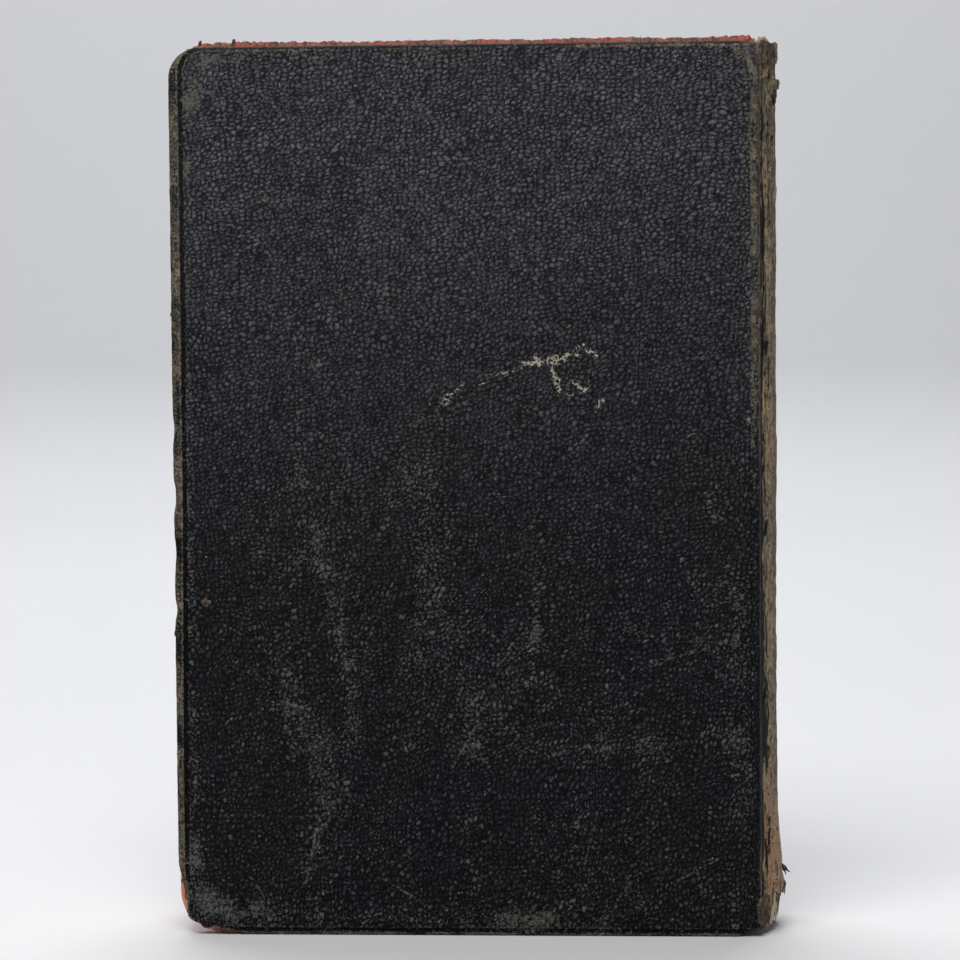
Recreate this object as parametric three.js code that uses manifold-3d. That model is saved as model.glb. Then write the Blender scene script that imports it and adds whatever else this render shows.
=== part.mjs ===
// A small leather-bound prayer book, closed and standing on its tail edges, in millimetres.
// X runs from the fore-edge (-X) to the spine (+X), Y from the back cover (-Y) to the front cover (+Y),
// and +Z from the tail to the head. The origin is the bottom centre of the closed book.
//
// The book is two halves of sewn gatherings that part along the middle of the spine, with a cover, a
// flyleaf and a share of the spine's layers on each half, and two leaves that turn between the halves.

import * as THREE from "three";
import { mergeVertices } from "three/addons/utils/BufferGeometryUtils.js";
import Module from "manifold-3d";

const wasm = await Module();
wasm.setup();

// ---------------------------------------------------------------- driving dimensions
const coverHeight = 140; // head to tail
const bookWidth = 94.7; // fore-edge to the outermost line of the spine
const bookThickness = 22; // over both covers
const spineBulge = 3.4; // the rounded spine stands this far past the cover joints
const spineRadius = 15.5; // outside of the spine leather
const coverCorner = 5; // radius of the covers' fore-edge corners
const leafCorner = 4; // radius of the leaves' fore-edge corners
const square = 2; // the covers stand this far past the leaves at head, tail and fore-edge
const gap = 0.12; // clearance between neighbouring pieces

const coverLeather = 0.6; // leather over the boards
const boardThickness = 1.1;
const turnInLeather = 0.4; // pared leather turned in over the board's inner face
const turnInWidth = 11;
const filletInset = 1.8; // from the cover's edge to the blind-tooled line around it
const filletWidth = 0.5;
const filletDepth = 0.15;
const paper = 0.25; // endpapers and single leaves
const spineLeather = 0.7;
const liningCard = 0.35; // card that stiffens the spine
const mullCloth = 0.3; // open-weave cloth glued over the sewing
const tapeCloth = 0.35; // linen tapes that the gatherings are sewn on

const tapeWidth = 8;
const kettleWidth = 1; // run of chain stitches near head and tail
const kettleInset = 12; // from the end of the leaves to the kettle stitches
const mullInset = 3; // from the end of the leaves to the mull
const endbandRadius = 0.75;
const gatheringsPerHalf = 6;
const boardJointGap = 1.3; // bare leather between board and joint
const jointInset = 0.6; // the pastedown ends this far inside the joint

const cornerSegments = 8;
const arcSegments = 6;

// ---------------------------------------------------------------- worked-out places
const spineX = bookWidth / 2; // outermost line of the spine, and the axis the halves turn about
const foreEdgeX = -bookWidth / 2;
const jointX = spineX - spineBulge; // where cover leather meets spine leather
const coverOuterY = bookThickness / 2;
const spineCentreX = spineX - spineRadius;
const leafHeight = coverHeight - 2 * square;

// Layers of the spine, from the outside in: each is the outer radius of that layer.
const liningRadius = spineRadius - spineLeather - gap;
const mullRadius = liningRadius - liningCard - gap;
const tapeRadius = mullRadius - mullCloth - gap;
const foldRadius = tapeRadius - tapeCloth - gap; // the gatherings' folds lie on this arc

// Layers of a cover, from the outside in: each is the distance of its outer face from the book's middle.
const boardY = coverOuterY - coverLeather - gap;
const turnInY = boardY - boardThickness - gap;
const coverInnerY = turnInY - turnInLeather;
const pastedownY = coverInnerY - gap;
const flyleafY = pastedownY - paper - gap;
const blockY = flyleafY - paper - gap; // outer face of the sewn gatherings

// Leaves by the middle of the book, from the middle out.
const turningLeafY = gap / 2;
const centreSheetY = turningLeafY + paper + gap;
const firstGatheringY = centreSheetY + paper + gap;
const gatheringPitch = (blockY - firstGatheringY + gap) / gatheringsPerHalf;
const gatheringThickness = gatheringPitch - gap;

// Where a rounded layer of the spine stands at distance y from the book's middle. The fold of every leaf
// lies on the innermost of these arcs, and its fore-edge follows it.
const arcX = (radius, y) => spineCentreX + Math.sqrt(radius ** 2 - y ** 2);
const foldX = (y) => arcX(foldRadius, y);
const leafWidth = foldX(blockY) - (foreEdgeX + square);

// ---------------------------------------------------------------- materials
const material = (color, roughness) => new THREE.MeshStandardMaterial({ color, roughness, metalness: 0 });
const blackLeather = material(0x17171a, 0.55);
const wornLeather = material(0x6b5844, 0.75);
const greyBoard = material(0x8a8378, 0.95);
const coralPaper = material(0xb9604a, 0.85);
const leafPaper = material(0xd9cdb0, 0.9);
const kraftCard = material(0x9c8663, 0.9);
const cottonMull = material(0xcfc4a8, 0.95);
const linenTape = material(0xc8b994, 0.95);
const linenThread = material(0xd8cfb6, 0.9);
const silkThread = material(0xa8433a, 0.6);

// ---------------------------------------------------------------- solids
// A closed mesh as a manifold-3d solid.
function solidOf(geometry) {
  const bare = geometry.clone();
  bare.deleteAttribute("normal");
  bare.deleteAttribute("uv");
  const merged = mergeVertices(bare, 1e-4);
  return new wasm.Manifold(
    new wasm.Mesh({
      numProp: 3,
      vertProperties: new Float32Array(merged.attributes.position.array),
      triVerts: new Uint32Array(merged.index.array),
    }),
  );
}

// A manifold-3d solid as a three.js geometry.
function geometryOf(solid) {
  const { numProp, vertProperties, triVerts } = solid.getMesh();
  const positions = new Float32Array((vertProperties.length / numProp) * 3);
  for (let i = 0; i < positions.length / 3; i++) {
    positions.set(vertProperties.subarray(i * numProp, i * numProp + 3), i * 3);
  }
  const geometry = new THREE.BufferGeometry();
  geometry.setAttribute("position", new THREE.BufferAttribute(positions, 3));
  geometry.setIndex(new THREE.BufferAttribute(new Uint32Array(triVerts), 1));
  geometry.computeVertexNormals();
  return geometry;
}

// An upright rectangle in X and Z whose two corners at low X are rounded.
function uprightOutline(xLow, xHigh, zLow, zHigh, radius) {
  const shape = new THREE.Shape();
  shape.moveTo(xHigh, zLow);
  shape.lineTo(xHigh, zHigh);
  shape.lineTo(xLow + radius, zHigh);
  if (radius > 0) shape.absarc(xLow + radius, zHigh - radius, radius, Math.PI / 2, Math.PI, false);
  shape.lineTo(xLow, zLow + radius);
  if (radius > 0) shape.absarc(xLow + radius, zLow + radius, radius, Math.PI, 1.5 * Math.PI, false);
  return shape;
}

// An upright outline thickened along Y, between yFrom and yTo in either order.
function plate(outline, yFrom, yTo) {
  const depth = Math.abs(yTo - yFrom);
  const geometry = new THREE.ExtrudeGeometry(outline, {
    depth,
    bevelEnabled: false,
    curveSegments: cornerSegments,
  });
  return geometry.rotateX(Math.PI / 2).translate(0, Math.max(yFrom, yTo), 0);
}

// A curved layer of the spine on one half, from the middle of the spine to a flat end at xEnd. The side
// is +1 for the front half and -1 for the back half.
function spineLayer(side, outerRadius, thickness, xEnd, zLow, zHigh) {
  const innerRadius = outerRadius - thickness;
  const start = side * Math.asin(gap / 2 / innerRadius);
  const outerEnd = side * Math.acos((xEnd - spineCentreX) / outerRadius);
  const innerEnd = side * Math.acos((xEnd - spineCentreX) / innerRadius);
  const shape = new THREE.Shape();
  shape.absarc(spineCentreX, 0, outerRadius, start, outerEnd, side < 0);
  shape.absarc(spineCentreX, 0, innerRadius, innerEnd, start, side > 0);
  return new THREE.ExtrudeGeometry(shape, {
    depth: zHigh - zLow,
    bevelEnabled: false,
    curveSegments: arcSegments,
  }).translate(0, 0, zLow);
}

// A leaf or gathering: a plate with rounded fore-edge corners, and a fold at the spine that is round
// in section when it is a folded gathering.
function leafSolid(side, yInner, thickness, folded) {
  const x = foldX(yInner + thickness / 2);
  const outline = uprightOutline(x - leafWidth, x, square, square + leafHeight, leafCorner);
  const slab = plate(outline, side * yInner, side * (yInner + thickness));
  if (!folded) return slab;
  const radius = thickness / 2;
  const middle = side * (yInner + radius);
  const section = new THREE.Shape();
  section.moveTo(x - leafWidth - 1, middle - radius);
  section.absarc(x - radius, middle, radius, -Math.PI / 2, Math.PI / 2, false);
  section.lineTo(x - leafWidth - 1, middle + radius);
  const column = new THREE.ExtrudeGeometry(section, {
    depth: coverHeight,
    bevelEnabled: false,
    curveSegments: 6,
  });
  return geometryOf(solidOf(slab).intersect(solidOf(column)));
}

// ---------------------------------------------------------------- the parts
const book = new THREE.Group();

function add(name, geometry, finish) {
  const mesh = new THREE.Mesh(geometry, finish);
  mesh.name = name;
  book.add(mesh);
  return mesh;
}

// The groove of the blind-tooled line that runs around the outside of a cover.
function filletGroove(side) {
  const line = (inset) => plate(
    uprightOutline(
      foreEdgeX + inset,
      jointX - inset,
      inset,
      coverHeight - inset,
      coverCorner - inset,
    ),
    side * (coverOuterY + 1),
    side * (coverOuterY - filletDepth),
  );
  return solidOf(line(filletInset)).subtract(solidOf(line(filletInset + filletWidth)));
}

// Leather over one board: the outer skin, the edges, and the margin turned in at head, tail and fore-edge.
function coverLeatherSolid(side) {
  const whole = plate(
    uprightOutline(foreEdgeX, jointX, 0, coverHeight, coverCorner),
    side * coverOuterY,
    side * coverInnerY,
  );
  const wall = coverLeather;
  const pocket = plate(
    uprightOutline(foreEdgeX + wall, jointX + 1, wall, coverHeight - wall, coverCorner - wall),
    side * (coverOuterY - coverLeather),
    side * turnInY,
  );
  const margin = turnInWidth;
  const window = plate(
    uprightOutline(foreEdgeX + margin, jointX + 1, margin, coverHeight - margin, 0),
    side * (coverOuterY - coverLeather),
    side * (coverInnerY - 1),
  );
  const hollowed = solidOf(whole).subtract(solidOf(pocket)).subtract(solidOf(window));
  return geometryOf(hollowed.subtract(filletGroove(side)));
}

function addCover(prefix, side) {
  const boardEdge = coverLeather + gap;
  add(`${prefix}_cover_leather`, coverLeatherSolid(side), blackLeather);
  const boardOutline = uprightOutline(
    foreEdgeX + boardEdge,
    jointX - boardJointGap,
    boardEdge,
    coverHeight - boardEdge,
    coverCorner - boardEdge,
  );
  add(
    `${prefix}_cover_board`,
    plate(boardOutline, side * boardY, side * (boardY - boardThickness)),
    greyBoard,
  );
  const pastedownOutline = uprightOutline(
    foreEdgeX + gap,
    jointX - jointInset,
    gap,
    coverHeight - gap,
    coverCorner - gap,
  );
  add(
    `${prefix}_pastedown`,
    plate(pastedownOutline, side * pastedownY, side * (pastedownY - paper)),
    coralPaper,
  );
}

function addLeaves(prefix, side, firstNumber, step) {
  add(`${prefix}_flyleaf`, leafSolid(side, flyleafY - paper, paper, false), coralPaper);
  for (let i = 0; i < gatheringsPerHalf; i++) {
    const number = String(firstNumber + step * i).padStart(2, "0");
    const y = firstGatheringY + i * gatheringPitch;
    add(`gathering_${number}`, leafSolid(side, y, gatheringThickness, true), leafPaper);
  }
  add(`centre_sheet_${prefix}`, leafSolid(side, centreSheetY, paper, false), leafPaper);
  add(`turning_leaf_${prefix}`, leafSolid(side, turningLeafY, paper, false), leafPaper);
}

// An endband: a silk-wound core lying on the end of the leaves, along the inside of the spine.
function endbandSolid(side, z) {
  const bandRadius = foldRadius - endbandRadius;
  const start = Math.asin(gap / bandRadius);
  const end = Math.asin((blockY - gap) / bandRadius);
  class SpineArc extends THREE.Curve {
    getPoint(t, target = new THREE.Vector3()) {
      const angle = side * (start + t * (end - start));
      return target.set(
        spineCentreX + bandRadius * Math.cos(angle),
        bandRadius * Math.sin(angle),
        z,
      );
    }
  }
  const section = new THREE.Shape();
  section.absarc(0, 0, endbandRadius, 0, 2 * Math.PI, false);
  return new THREE.ExtrudeGeometry(section, {
    steps: 12,
    extrudePath: new SpineArc(),
    curveSegments: 10,
    bevelEnabled: false,
  });
}

function addSpine(prefix, side) {
  const leafTop = square + leafHeight;
  const layerEnd = (radius) => arcX(radius, blockY - gap);
  add(
    `spine_leather_${prefix}`,
    spineLayer(side, spineRadius, spineLeather, jointX + gap, 0, coverHeight),
    wornLeather,
  );
  add(
    `spine_lining_${prefix}`,
    spineLayer(side, liningRadius, liningCard, jointX + gap, gap, coverHeight - gap),
    kraftCard,
  );
  add(
    `mull_${prefix}`,
    spineLayer(side, mullRadius, mullCloth, layerEnd(mullRadius), square + mullInset, leafTop - mullInset),
    cottonMull,
  );
  const tapeHeights = { tail: 0.25, middle: 0.5, head: 0.75 };
  for (const [place, share] of Object.entries(tapeHeights)) {
    const z = square + share * leafHeight;
    add(
      `tape_${place}_${prefix}`,
      spineLayer(side, tapeRadius, tapeCloth, layerEnd(tapeRadius), z - tapeWidth / 2, z + tapeWidth / 2),
      linenTape,
    );
  }
  const kettleHeights = { tail: square + kettleInset, head: leafTop - kettleInset };
  for (const [place, z] of Object.entries(kettleHeights)) {
    add(
      `kettle_stitches_${place}_${prefix}`,
      spineLayer(side, tapeRadius, tapeCloth, layerEnd(tapeRadius), z - kettleWidth / 2, z + kettleWidth / 2),
      linenThread,
    );
  }
  add(`endband_tail_${prefix}`, endbandSolid(side, square - endbandRadius - gap), silkThread);
  add(`endband_head_${prefix}`, endbandSolid(side, leafTop + endbandRadius + gap), silkThread);
}

// Gatherings are numbered from the front cover, so the front half counts down from the middle.
addCover("front", 1);
addCover("back", -1);
addLeaves("front", 1, gatheringsPerHalf, -1);
addLeaves("back", -1, gatheringsPerHalf + 1, 1);
addSpine("front", 1);
addSpine("back", -1);

export default book;
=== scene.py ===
"""A small, worn, leather-bound prayer book that stands closed on a pale floor.

Lengths are millimetres until a mesh is made: X runs from the fore-edge to the spine, Y from the back
cover to the front cover and Z from the tail to the head. Places on a cover are (u, v): the distance
from the fore-edge and the height above the tail.
"""

import math
from dataclasses import dataclass

import bmesh
import bpy
import numpy as np
from mathutils import Matrix, Vector


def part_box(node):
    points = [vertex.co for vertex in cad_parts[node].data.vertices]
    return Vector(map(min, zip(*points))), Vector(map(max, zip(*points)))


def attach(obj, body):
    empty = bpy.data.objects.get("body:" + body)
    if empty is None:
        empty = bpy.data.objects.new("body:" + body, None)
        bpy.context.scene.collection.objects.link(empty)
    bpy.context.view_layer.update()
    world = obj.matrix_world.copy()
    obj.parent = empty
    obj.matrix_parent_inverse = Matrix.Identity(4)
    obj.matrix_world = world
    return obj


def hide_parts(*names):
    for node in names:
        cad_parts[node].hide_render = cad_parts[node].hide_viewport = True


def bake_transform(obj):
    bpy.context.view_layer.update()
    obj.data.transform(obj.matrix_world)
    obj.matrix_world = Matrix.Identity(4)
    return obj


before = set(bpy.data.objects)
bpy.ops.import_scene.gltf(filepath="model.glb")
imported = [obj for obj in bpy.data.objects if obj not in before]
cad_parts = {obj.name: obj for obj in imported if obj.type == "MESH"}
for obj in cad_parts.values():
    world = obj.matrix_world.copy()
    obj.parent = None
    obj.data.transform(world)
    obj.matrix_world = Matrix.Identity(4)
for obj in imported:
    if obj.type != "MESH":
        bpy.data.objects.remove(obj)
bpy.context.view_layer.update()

MM = 0.001


def box_mm(node):
    """The lowest and highest corner of a CAD node, in millimetres."""
    low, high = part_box(node)
    return np.array(low) / MM, np.array(high) / MM


# ---------------------------------------------------------------- sizes from the CAD frame
back_low, back_high = box_mm("back_cover_leather")
spine_low, spine_high = box_mm("spine_leather_front")
FORE_X = back_low[0]
JOINT_X = back_high[0]
COVER_Y = -back_low[1]  # outer face of a cover
COVER_INNER_Y = -back_high[1]
HEIGHT = back_high[2]
SPINE_X = spine_high[0]
SPINE_RISE = SPINE_X - spine_low[0]
SPINE_RADIUS = (SPINE_RISE**2 + spine_high[1] ** 2) / (2 * SPINE_RISE)
SPINE_CENTRE_X = SPINE_X - SPINE_RADIUS
COVER_DEPTH = COVER_Y - COVER_INNER_Y
LEATHER = 0.6  # thickness over the boards


# ---------------------------------------------------------------- repeatable noise
def hashed(column, row, seed):
    """A repeatable number from 0 to 1 for each place on a whole-number lattice."""
    n = (column * 374761393 + row * 668265263 + seed * 974634777) & 0xFFFFFFFF
    n = ((n ^ (n >> 13)) * 1274126177) & 0xFFFFFFFF
    return ((n ^ (n >> 16)) & 0xFFFF) / 0xFFFF


def smooth(value, low, high):
    """0 below low, 1 above high, and a smooth step between them."""
    t = np.clip((value - low) / (high - low), 0, 1)
    return t * t * (3 - 2 * t)


def bell(value, width):
    """1 where a value is 0, fading to 0 on both sides over about twice the width."""
    return np.exp(-((value / width) ** 2))


def noise(x, y, size, seed, octaves=3):
    """Smooth noise from -1 to 1 whose largest features are about size across."""
    total, weight, weights = 0, 1, 0
    for octave in range(octaves):
        fx, fy = np.asarray(x) / size, np.asarray(y) / size
        column, row = np.floor(fx).astype(np.int64), np.floor(fy).astype(np.int64)
        tx, ty = smooth(fx - column, 0, 1), smooth(fy - row, 0, 1)
        below = hashed(column, row, seed) * (1 - tx) + hashed(column + 1, row, seed) * tx
        above = hashed(column, row + 1, seed) * (1 - tx) + hashed(column + 1, row + 1, seed) * tx
        total = total + weight * (2 * (below * (1 - ty) + above * ty) - 1)
        weights += weight
        weight, size, seed = weight * 0.5, size * 0.5, seed + 17
    return total / weights


def pebbles(x, y, seed):
    """Pebble grain, wide near the head and tall near the tail: its height and its peak, from 0 to 1."""
    bent_x = x + 1.2 * noise(x, y, 8, seed + 1, 2) + 0.3 * noise(x, y, 0.9, seed + 3, 2)
    bent_y = y + 1.2 * noise(x, y, 7, seed + 2, 2) + 0.3 * noise(x, y, 0.9, seed + 4, 2) - 0.12 * x
    along = bent_x * (1.42 - 0.0022 * y)
    across = bent_y * (1.12 + 0.0017 * y)
    column, row = np.floor(along).astype(np.int64), np.floor(across).astype(np.int64)
    nearest = np.full(np.shape(along), 9.0)
    second = nearest.copy()
    number = np.zeros_like(nearest)
    for i in (-1, 0, 1):
        for j in (-1, 0, 1):
            c, r = column + i, row + j
            centre_x = c + 0.5 + 0.8 * (hashed(c, r, seed) - 0.5)
            centre_y = r + 0.5 + 0.8 * (hashed(c, r, seed + 5) - 0.5)
            distance = np.hypot(along - centre_x, across - centre_y)
            closer = distance < nearest
            second = np.where(closer, nearest, np.minimum(second, distance))
            number = np.where(closer, hashed(c, r, seed + 9), number)
            nearest = np.where(closer, distance, nearest)
    gap = second - nearest + 0.07 * noise(x, y, 1.7, seed + 6, 2)
    height = smooth(gap, 0, 0.6) * (0.7 + 0.3 * number)
    peak = smooth(gap, 0.1, 0.85) * (0.25 + 0.75 * hashed((number * 9999).astype(np.int64), 0, 3))
    return height, peak


# ---------------------------------------------------------------- meshes
SAME_PLACE = 2e-7  # metres: points closer than this are one point


def grid_faces(rows, columns, first=0):
    """The quads of a grid of points."""
    i = np.arange(rows * columns).reshape(rows, columns) + first
    return np.stack([i[:-1, :-1], i[:-1, 1:], i[1:, 1:], i[1:, :-1]], -1).reshape(-1, 4)


def grid_border(rows, columns):
    """The border points of a grid, in order round it."""
    i = np.arange(rows * columns).reshape(rows, columns)
    return np.concatenate([i[0, :-1], i[:-1, -1], i[-1, :0:-1], i[:0:-1, 0]])


def band_faces(loop_a, loop_b):
    """The quads between two closed loops of points."""
    return np.stack([loop_a, np.roll(loop_a, -1), np.roll(loop_b, -1), loop_b], -1)


def new_object(name, data):
    thing = bpy.data.objects.new(name, data)
    bpy.context.scene.collection.objects.link(thing)
    return thing


def make_object(name, points, faces, material, **values):
    """A closed mesh from points in millimetres. It keeps three numbers a point for its material, by name."""
    points = np.asarray(points, float)
    mesh = bpy.data.meshes.new(name)
    mesh.from_pydata((points * MM).tolist(), [], [list(face) for face in faces])
    for key, value in {**values, "rest": points}.items():
        value = np.broadcast_to(np.asarray(value, np.float32), points.shape)
        mesh.attributes.new(key, "FLOAT_VECTOR", "POINT").data.foreach_set("vector", value.ravel())
    shape = bmesh.new()
    shape.from_mesh(mesh)
    bmesh.ops.remove_doubles(shape, verts=shape.verts, dist=SAME_PLACE)
    bmesh.ops.recalc_face_normals(shape, faces=shape.faces)
    for face in shape.faces:
        face.smooth = True
    shape.to_mesh(mesh)
    shape.free()
    mesh.materials.append(material)
    return new_object(name, mesh)


def sheet_object(name, front, back, material, **values):
    """A thin closed piece between two grids of points of the same shape."""
    rows, columns = front.shape[:2]
    count = rows * columns
    border = grid_border(rows, columns)
    faces = [*grid_faces(rows, columns), *grid_faces(rows, columns, count)[:, ::-1]]
    faces += list(band_faces(border + count, border))
    points = np.concatenate([front.reshape(-1, 3), back.reshape(-1, 3)])
    return make_object(name, points, faces, material, **values)


def both_faces(*numbers):
    """What the points of a sheet's two faces keep, from three numbers at each place of its grid."""
    return np.tile(np.stack(np.broadcast_arrays(*numbers), -1).reshape(-1, 3), (2, 1))


def tube_object(name, path, radii, material, sides, **values):
    """A closed tube along a path of points, with a radius at each."""
    path = np.asarray(path, float)
    along = np.gradient(path, axis=0)
    along /= np.linalg.norm(along, axis=1, keepdims=True)
    reference = np.where(np.abs(along[:, 2:3]) > 0.8, [[1.0, 0, 0]], [[0, 0, 1.0]])
    across = np.cross(along, reference)
    across /= np.linalg.norm(across, axis=1, keepdims=True)
    upward = np.cross(across, along)
    turn = np.arange(sides) * 2 * math.pi / sides
    radii = np.broadcast_to(np.asarray(radii, float), (len(path),))
    ring = np.cos(turn)[None, :, None] * across[:, None] + np.sin(turn)[None, :, None] * upward[:, None]
    points = (path[:, None] + radii[:, None, None] * ring).reshape(-1, 3)
    loops = np.arange(len(points)).reshape(len(path), sides)
    faces = [face for a, b in zip(loops[:-1], loops[1:]) for face in band_faces(a, b)]
    faces += [loops[0][::-1], loops[-1]]
    return make_object(name, points, faces, material, **values)


def join_objects(name, things):
    """Several objects as one."""
    with bpy.context.temp_override(active_object=things[0], selected_editable_objects=things):
        bpy.ops.object.join()
    things[0].name = name
    return things[0]


def ride_as(thing, body, slot, *nodes):
    """Fixes a piece to a body and hides the CAD nodes that it stands for."""
    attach(thing, body)
    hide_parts(*nodes)


def blend_as(thing, body_a, body_b, start, end, slot, *nodes):
    """Bakes a piece's place into its mesh and hides the CAD nodes that it stands for. The two bodies, start
    and end are not used.
    """
    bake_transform(thing)
    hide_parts(*nodes)


def blend_at_hinge(thing, side, bodies, start, end, slot, *nodes):
    """Hands a piece by a joint on to blend_as: start and end are X, and Y from the book's middle."""
    start, end = ((x, side * y, HEIGHT / 2) for x, y in (start, end))
    blend_as(thing, *bodies, start, end, slot, *nodes)


# ---------------------------------------------------------------- materials
class Value:
    """One output of a material's nodes: a number, a place or a colour. It can be added and multiplied."""

    def __init__(self, surface, socket):
        self.surface = surface
        self.socket = socket

    def math(self, operation, other=0.0):
        return self.surface.add("ShaderNodeMath", {0: self, 1: other}, operation=operation)

    def __add__(self, other):
        return self.math("ADD", other)

    def __sub__(self, other):
        return self.math("SUBTRACT", other)

    def __mul__(self, other):
        return self.math("MULTIPLY", other)

    def step(self, low, high, start=0.0, end=1.0):
        """A smooth step from start to end, as this value goes from low to high."""
        inputs = {"Value": self, "From Min": low, "From Max": high, "To Min": start, "To Max": end}
        return self.surface.add("ShaderNodeMapRange", inputs, interpolation_type="SMOOTHSTEP")


class Surface:
    """One material's nodes. A colour is a value or three numbers, and a scale is in parts of a millimetre."""

    def __init__(self, name):
        self.material = bpy.data.materials.new(name)
        self.material.use_nodes = True
        self.tree = self.material.node_tree
        self.shader = self.tree.nodes["Principled BSDF"]

    def add(self, kind, inputs, output=0, **settings):
        node = self.tree.nodes.new(kind)
        for key, setting in settings.items():
            setattr(node, key, setting)
        for key, value in inputs.items():
            self.put(node.inputs[key], value)
        return Value(self, node.outputs[output])

    def put(self, socket, value):
        if isinstance(value, Value):
            self.tree.links.new(value.socket, socket)
        elif isinstance(value, tuple) and len(socket.default_value) == 4:
            socket.default_value = (*value, 1)
        else:
            socket.default_value = value

    def kept(self, key):
        """The three numbers that the mesh's points keep under a name."""
        return self.parts(self.add("ShaderNodeAttribute", {}, "Vector", attribute_name=key))

    def parts(self, vector):
        """The three numbers of a vector."""
        x = self.add("ShaderNodeSeparateXYZ", {"Vector": vector})
        return [Value(self, socket) for socket in x.socket.node.outputs]

    def place(self, *stretch):
        """The place on the piece at rest, in millimetres, stretched for the textures that use it."""
        rest = self.add("ShaderNodeAttribute", {}, "Vector", attribute_name="rest")
        return self.add("ShaderNodeVectorMath", {0: rest, 1: stretch or (1, 1, 1)}, operation="MULTIPLY")

    def bent(self, place, scale, amount):
        """The place moved to and fro, so that what is drawn there wanders."""
        wave = self.add("ShaderNodeTexNoise", {"Vector": place, "Scale": scale, "Detail": 2}, "Color")
        inputs = {0: wave, 1: (amount,) * 3, 2: (-amount / 2,) * 3}
        moved = self.add("ShaderNodeVectorMath", inputs, operation="MULTIPLY_ADD")
        return self.add("ShaderNodeVectorMath", {0: place, 1: moved}, operation="ADD")

    def noise(self, place, scale, detail=3, distortion=0.0):
        inputs = {"Vector": place, "Scale": scale, "Detail": detail, "Distortion": distortion}
        return self.add("ShaderNodeTexNoise", inputs)

    def cells(self, place, scale, feature="F1"):
        inputs = {"Vector": place, "Scale": scale}
        return self.add("ShaderNodeTexVoronoi", inputs, "Distance", feature=feature)

    def scaled(self, colour, factor):
        return self.add("ShaderNodeVectorMath", {0: colour, "Scale": factor}, operation="SCALE")

    def mix(self, share, a, b):
        return self.add("ShaderNodeMix", {0: share, 6: a, 7: b}, 2, data_type="RGBA", clamp_factor=True)

    def finish(self, colour, roughness, height=None, bump=0.1, **constants):
        """Wires the shader. The bump's height is in millimetres times bump."""
        inputs = {"Base Color": colour, "Roughness": roughness}
        if height is not None:
            relief = {"Height": height, "Distance": bump * MM, "Strength": 1.0}
            inputs["Normal"] = self.add("ShaderNodeBump", relief)
        for key, value in constants.items():
            inputs[key.replace("_", " ")] = value
        for key, value in inputs.items():
            self.put(self.shader.inputs[key], value)
        return self.material


def darker(tone, share):
    """A colour at a share of its brightness."""
    return tuple(share * part for part in tone)


BLUE_BLACK = (0.0135, 0.0160, 0.0205)
BROWN_BLACK = (0.0165, 0.0150, 0.0175)
# Painted sheen: a lighter black that stands for the gloss of the upper cover.
PAINTED_SHEEN_BLACK = (0.072, 0.072, 0.083)
# Painted shade for the grain's creases, plain and under the painted sheen.
PAINTED_CREASE_SHADE = (0.0012, 0.0012, 0.0016)
PAINTED_CREASE_SHADE_IN_SHEEN = (0.009, 0.009, 0.0105)
WORN_GREY = (0.105, 0.108, 0.108)
OLIVE = (0.100, 0.097, 0.078)
TAN = (0.20, 0.155, 0.105)
BROWN = (0.070, 0.054, 0.040)
CREAM = (0.44, 0.41, 0.31)
CORAL = (0.38, 0.115, 0.078)


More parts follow.
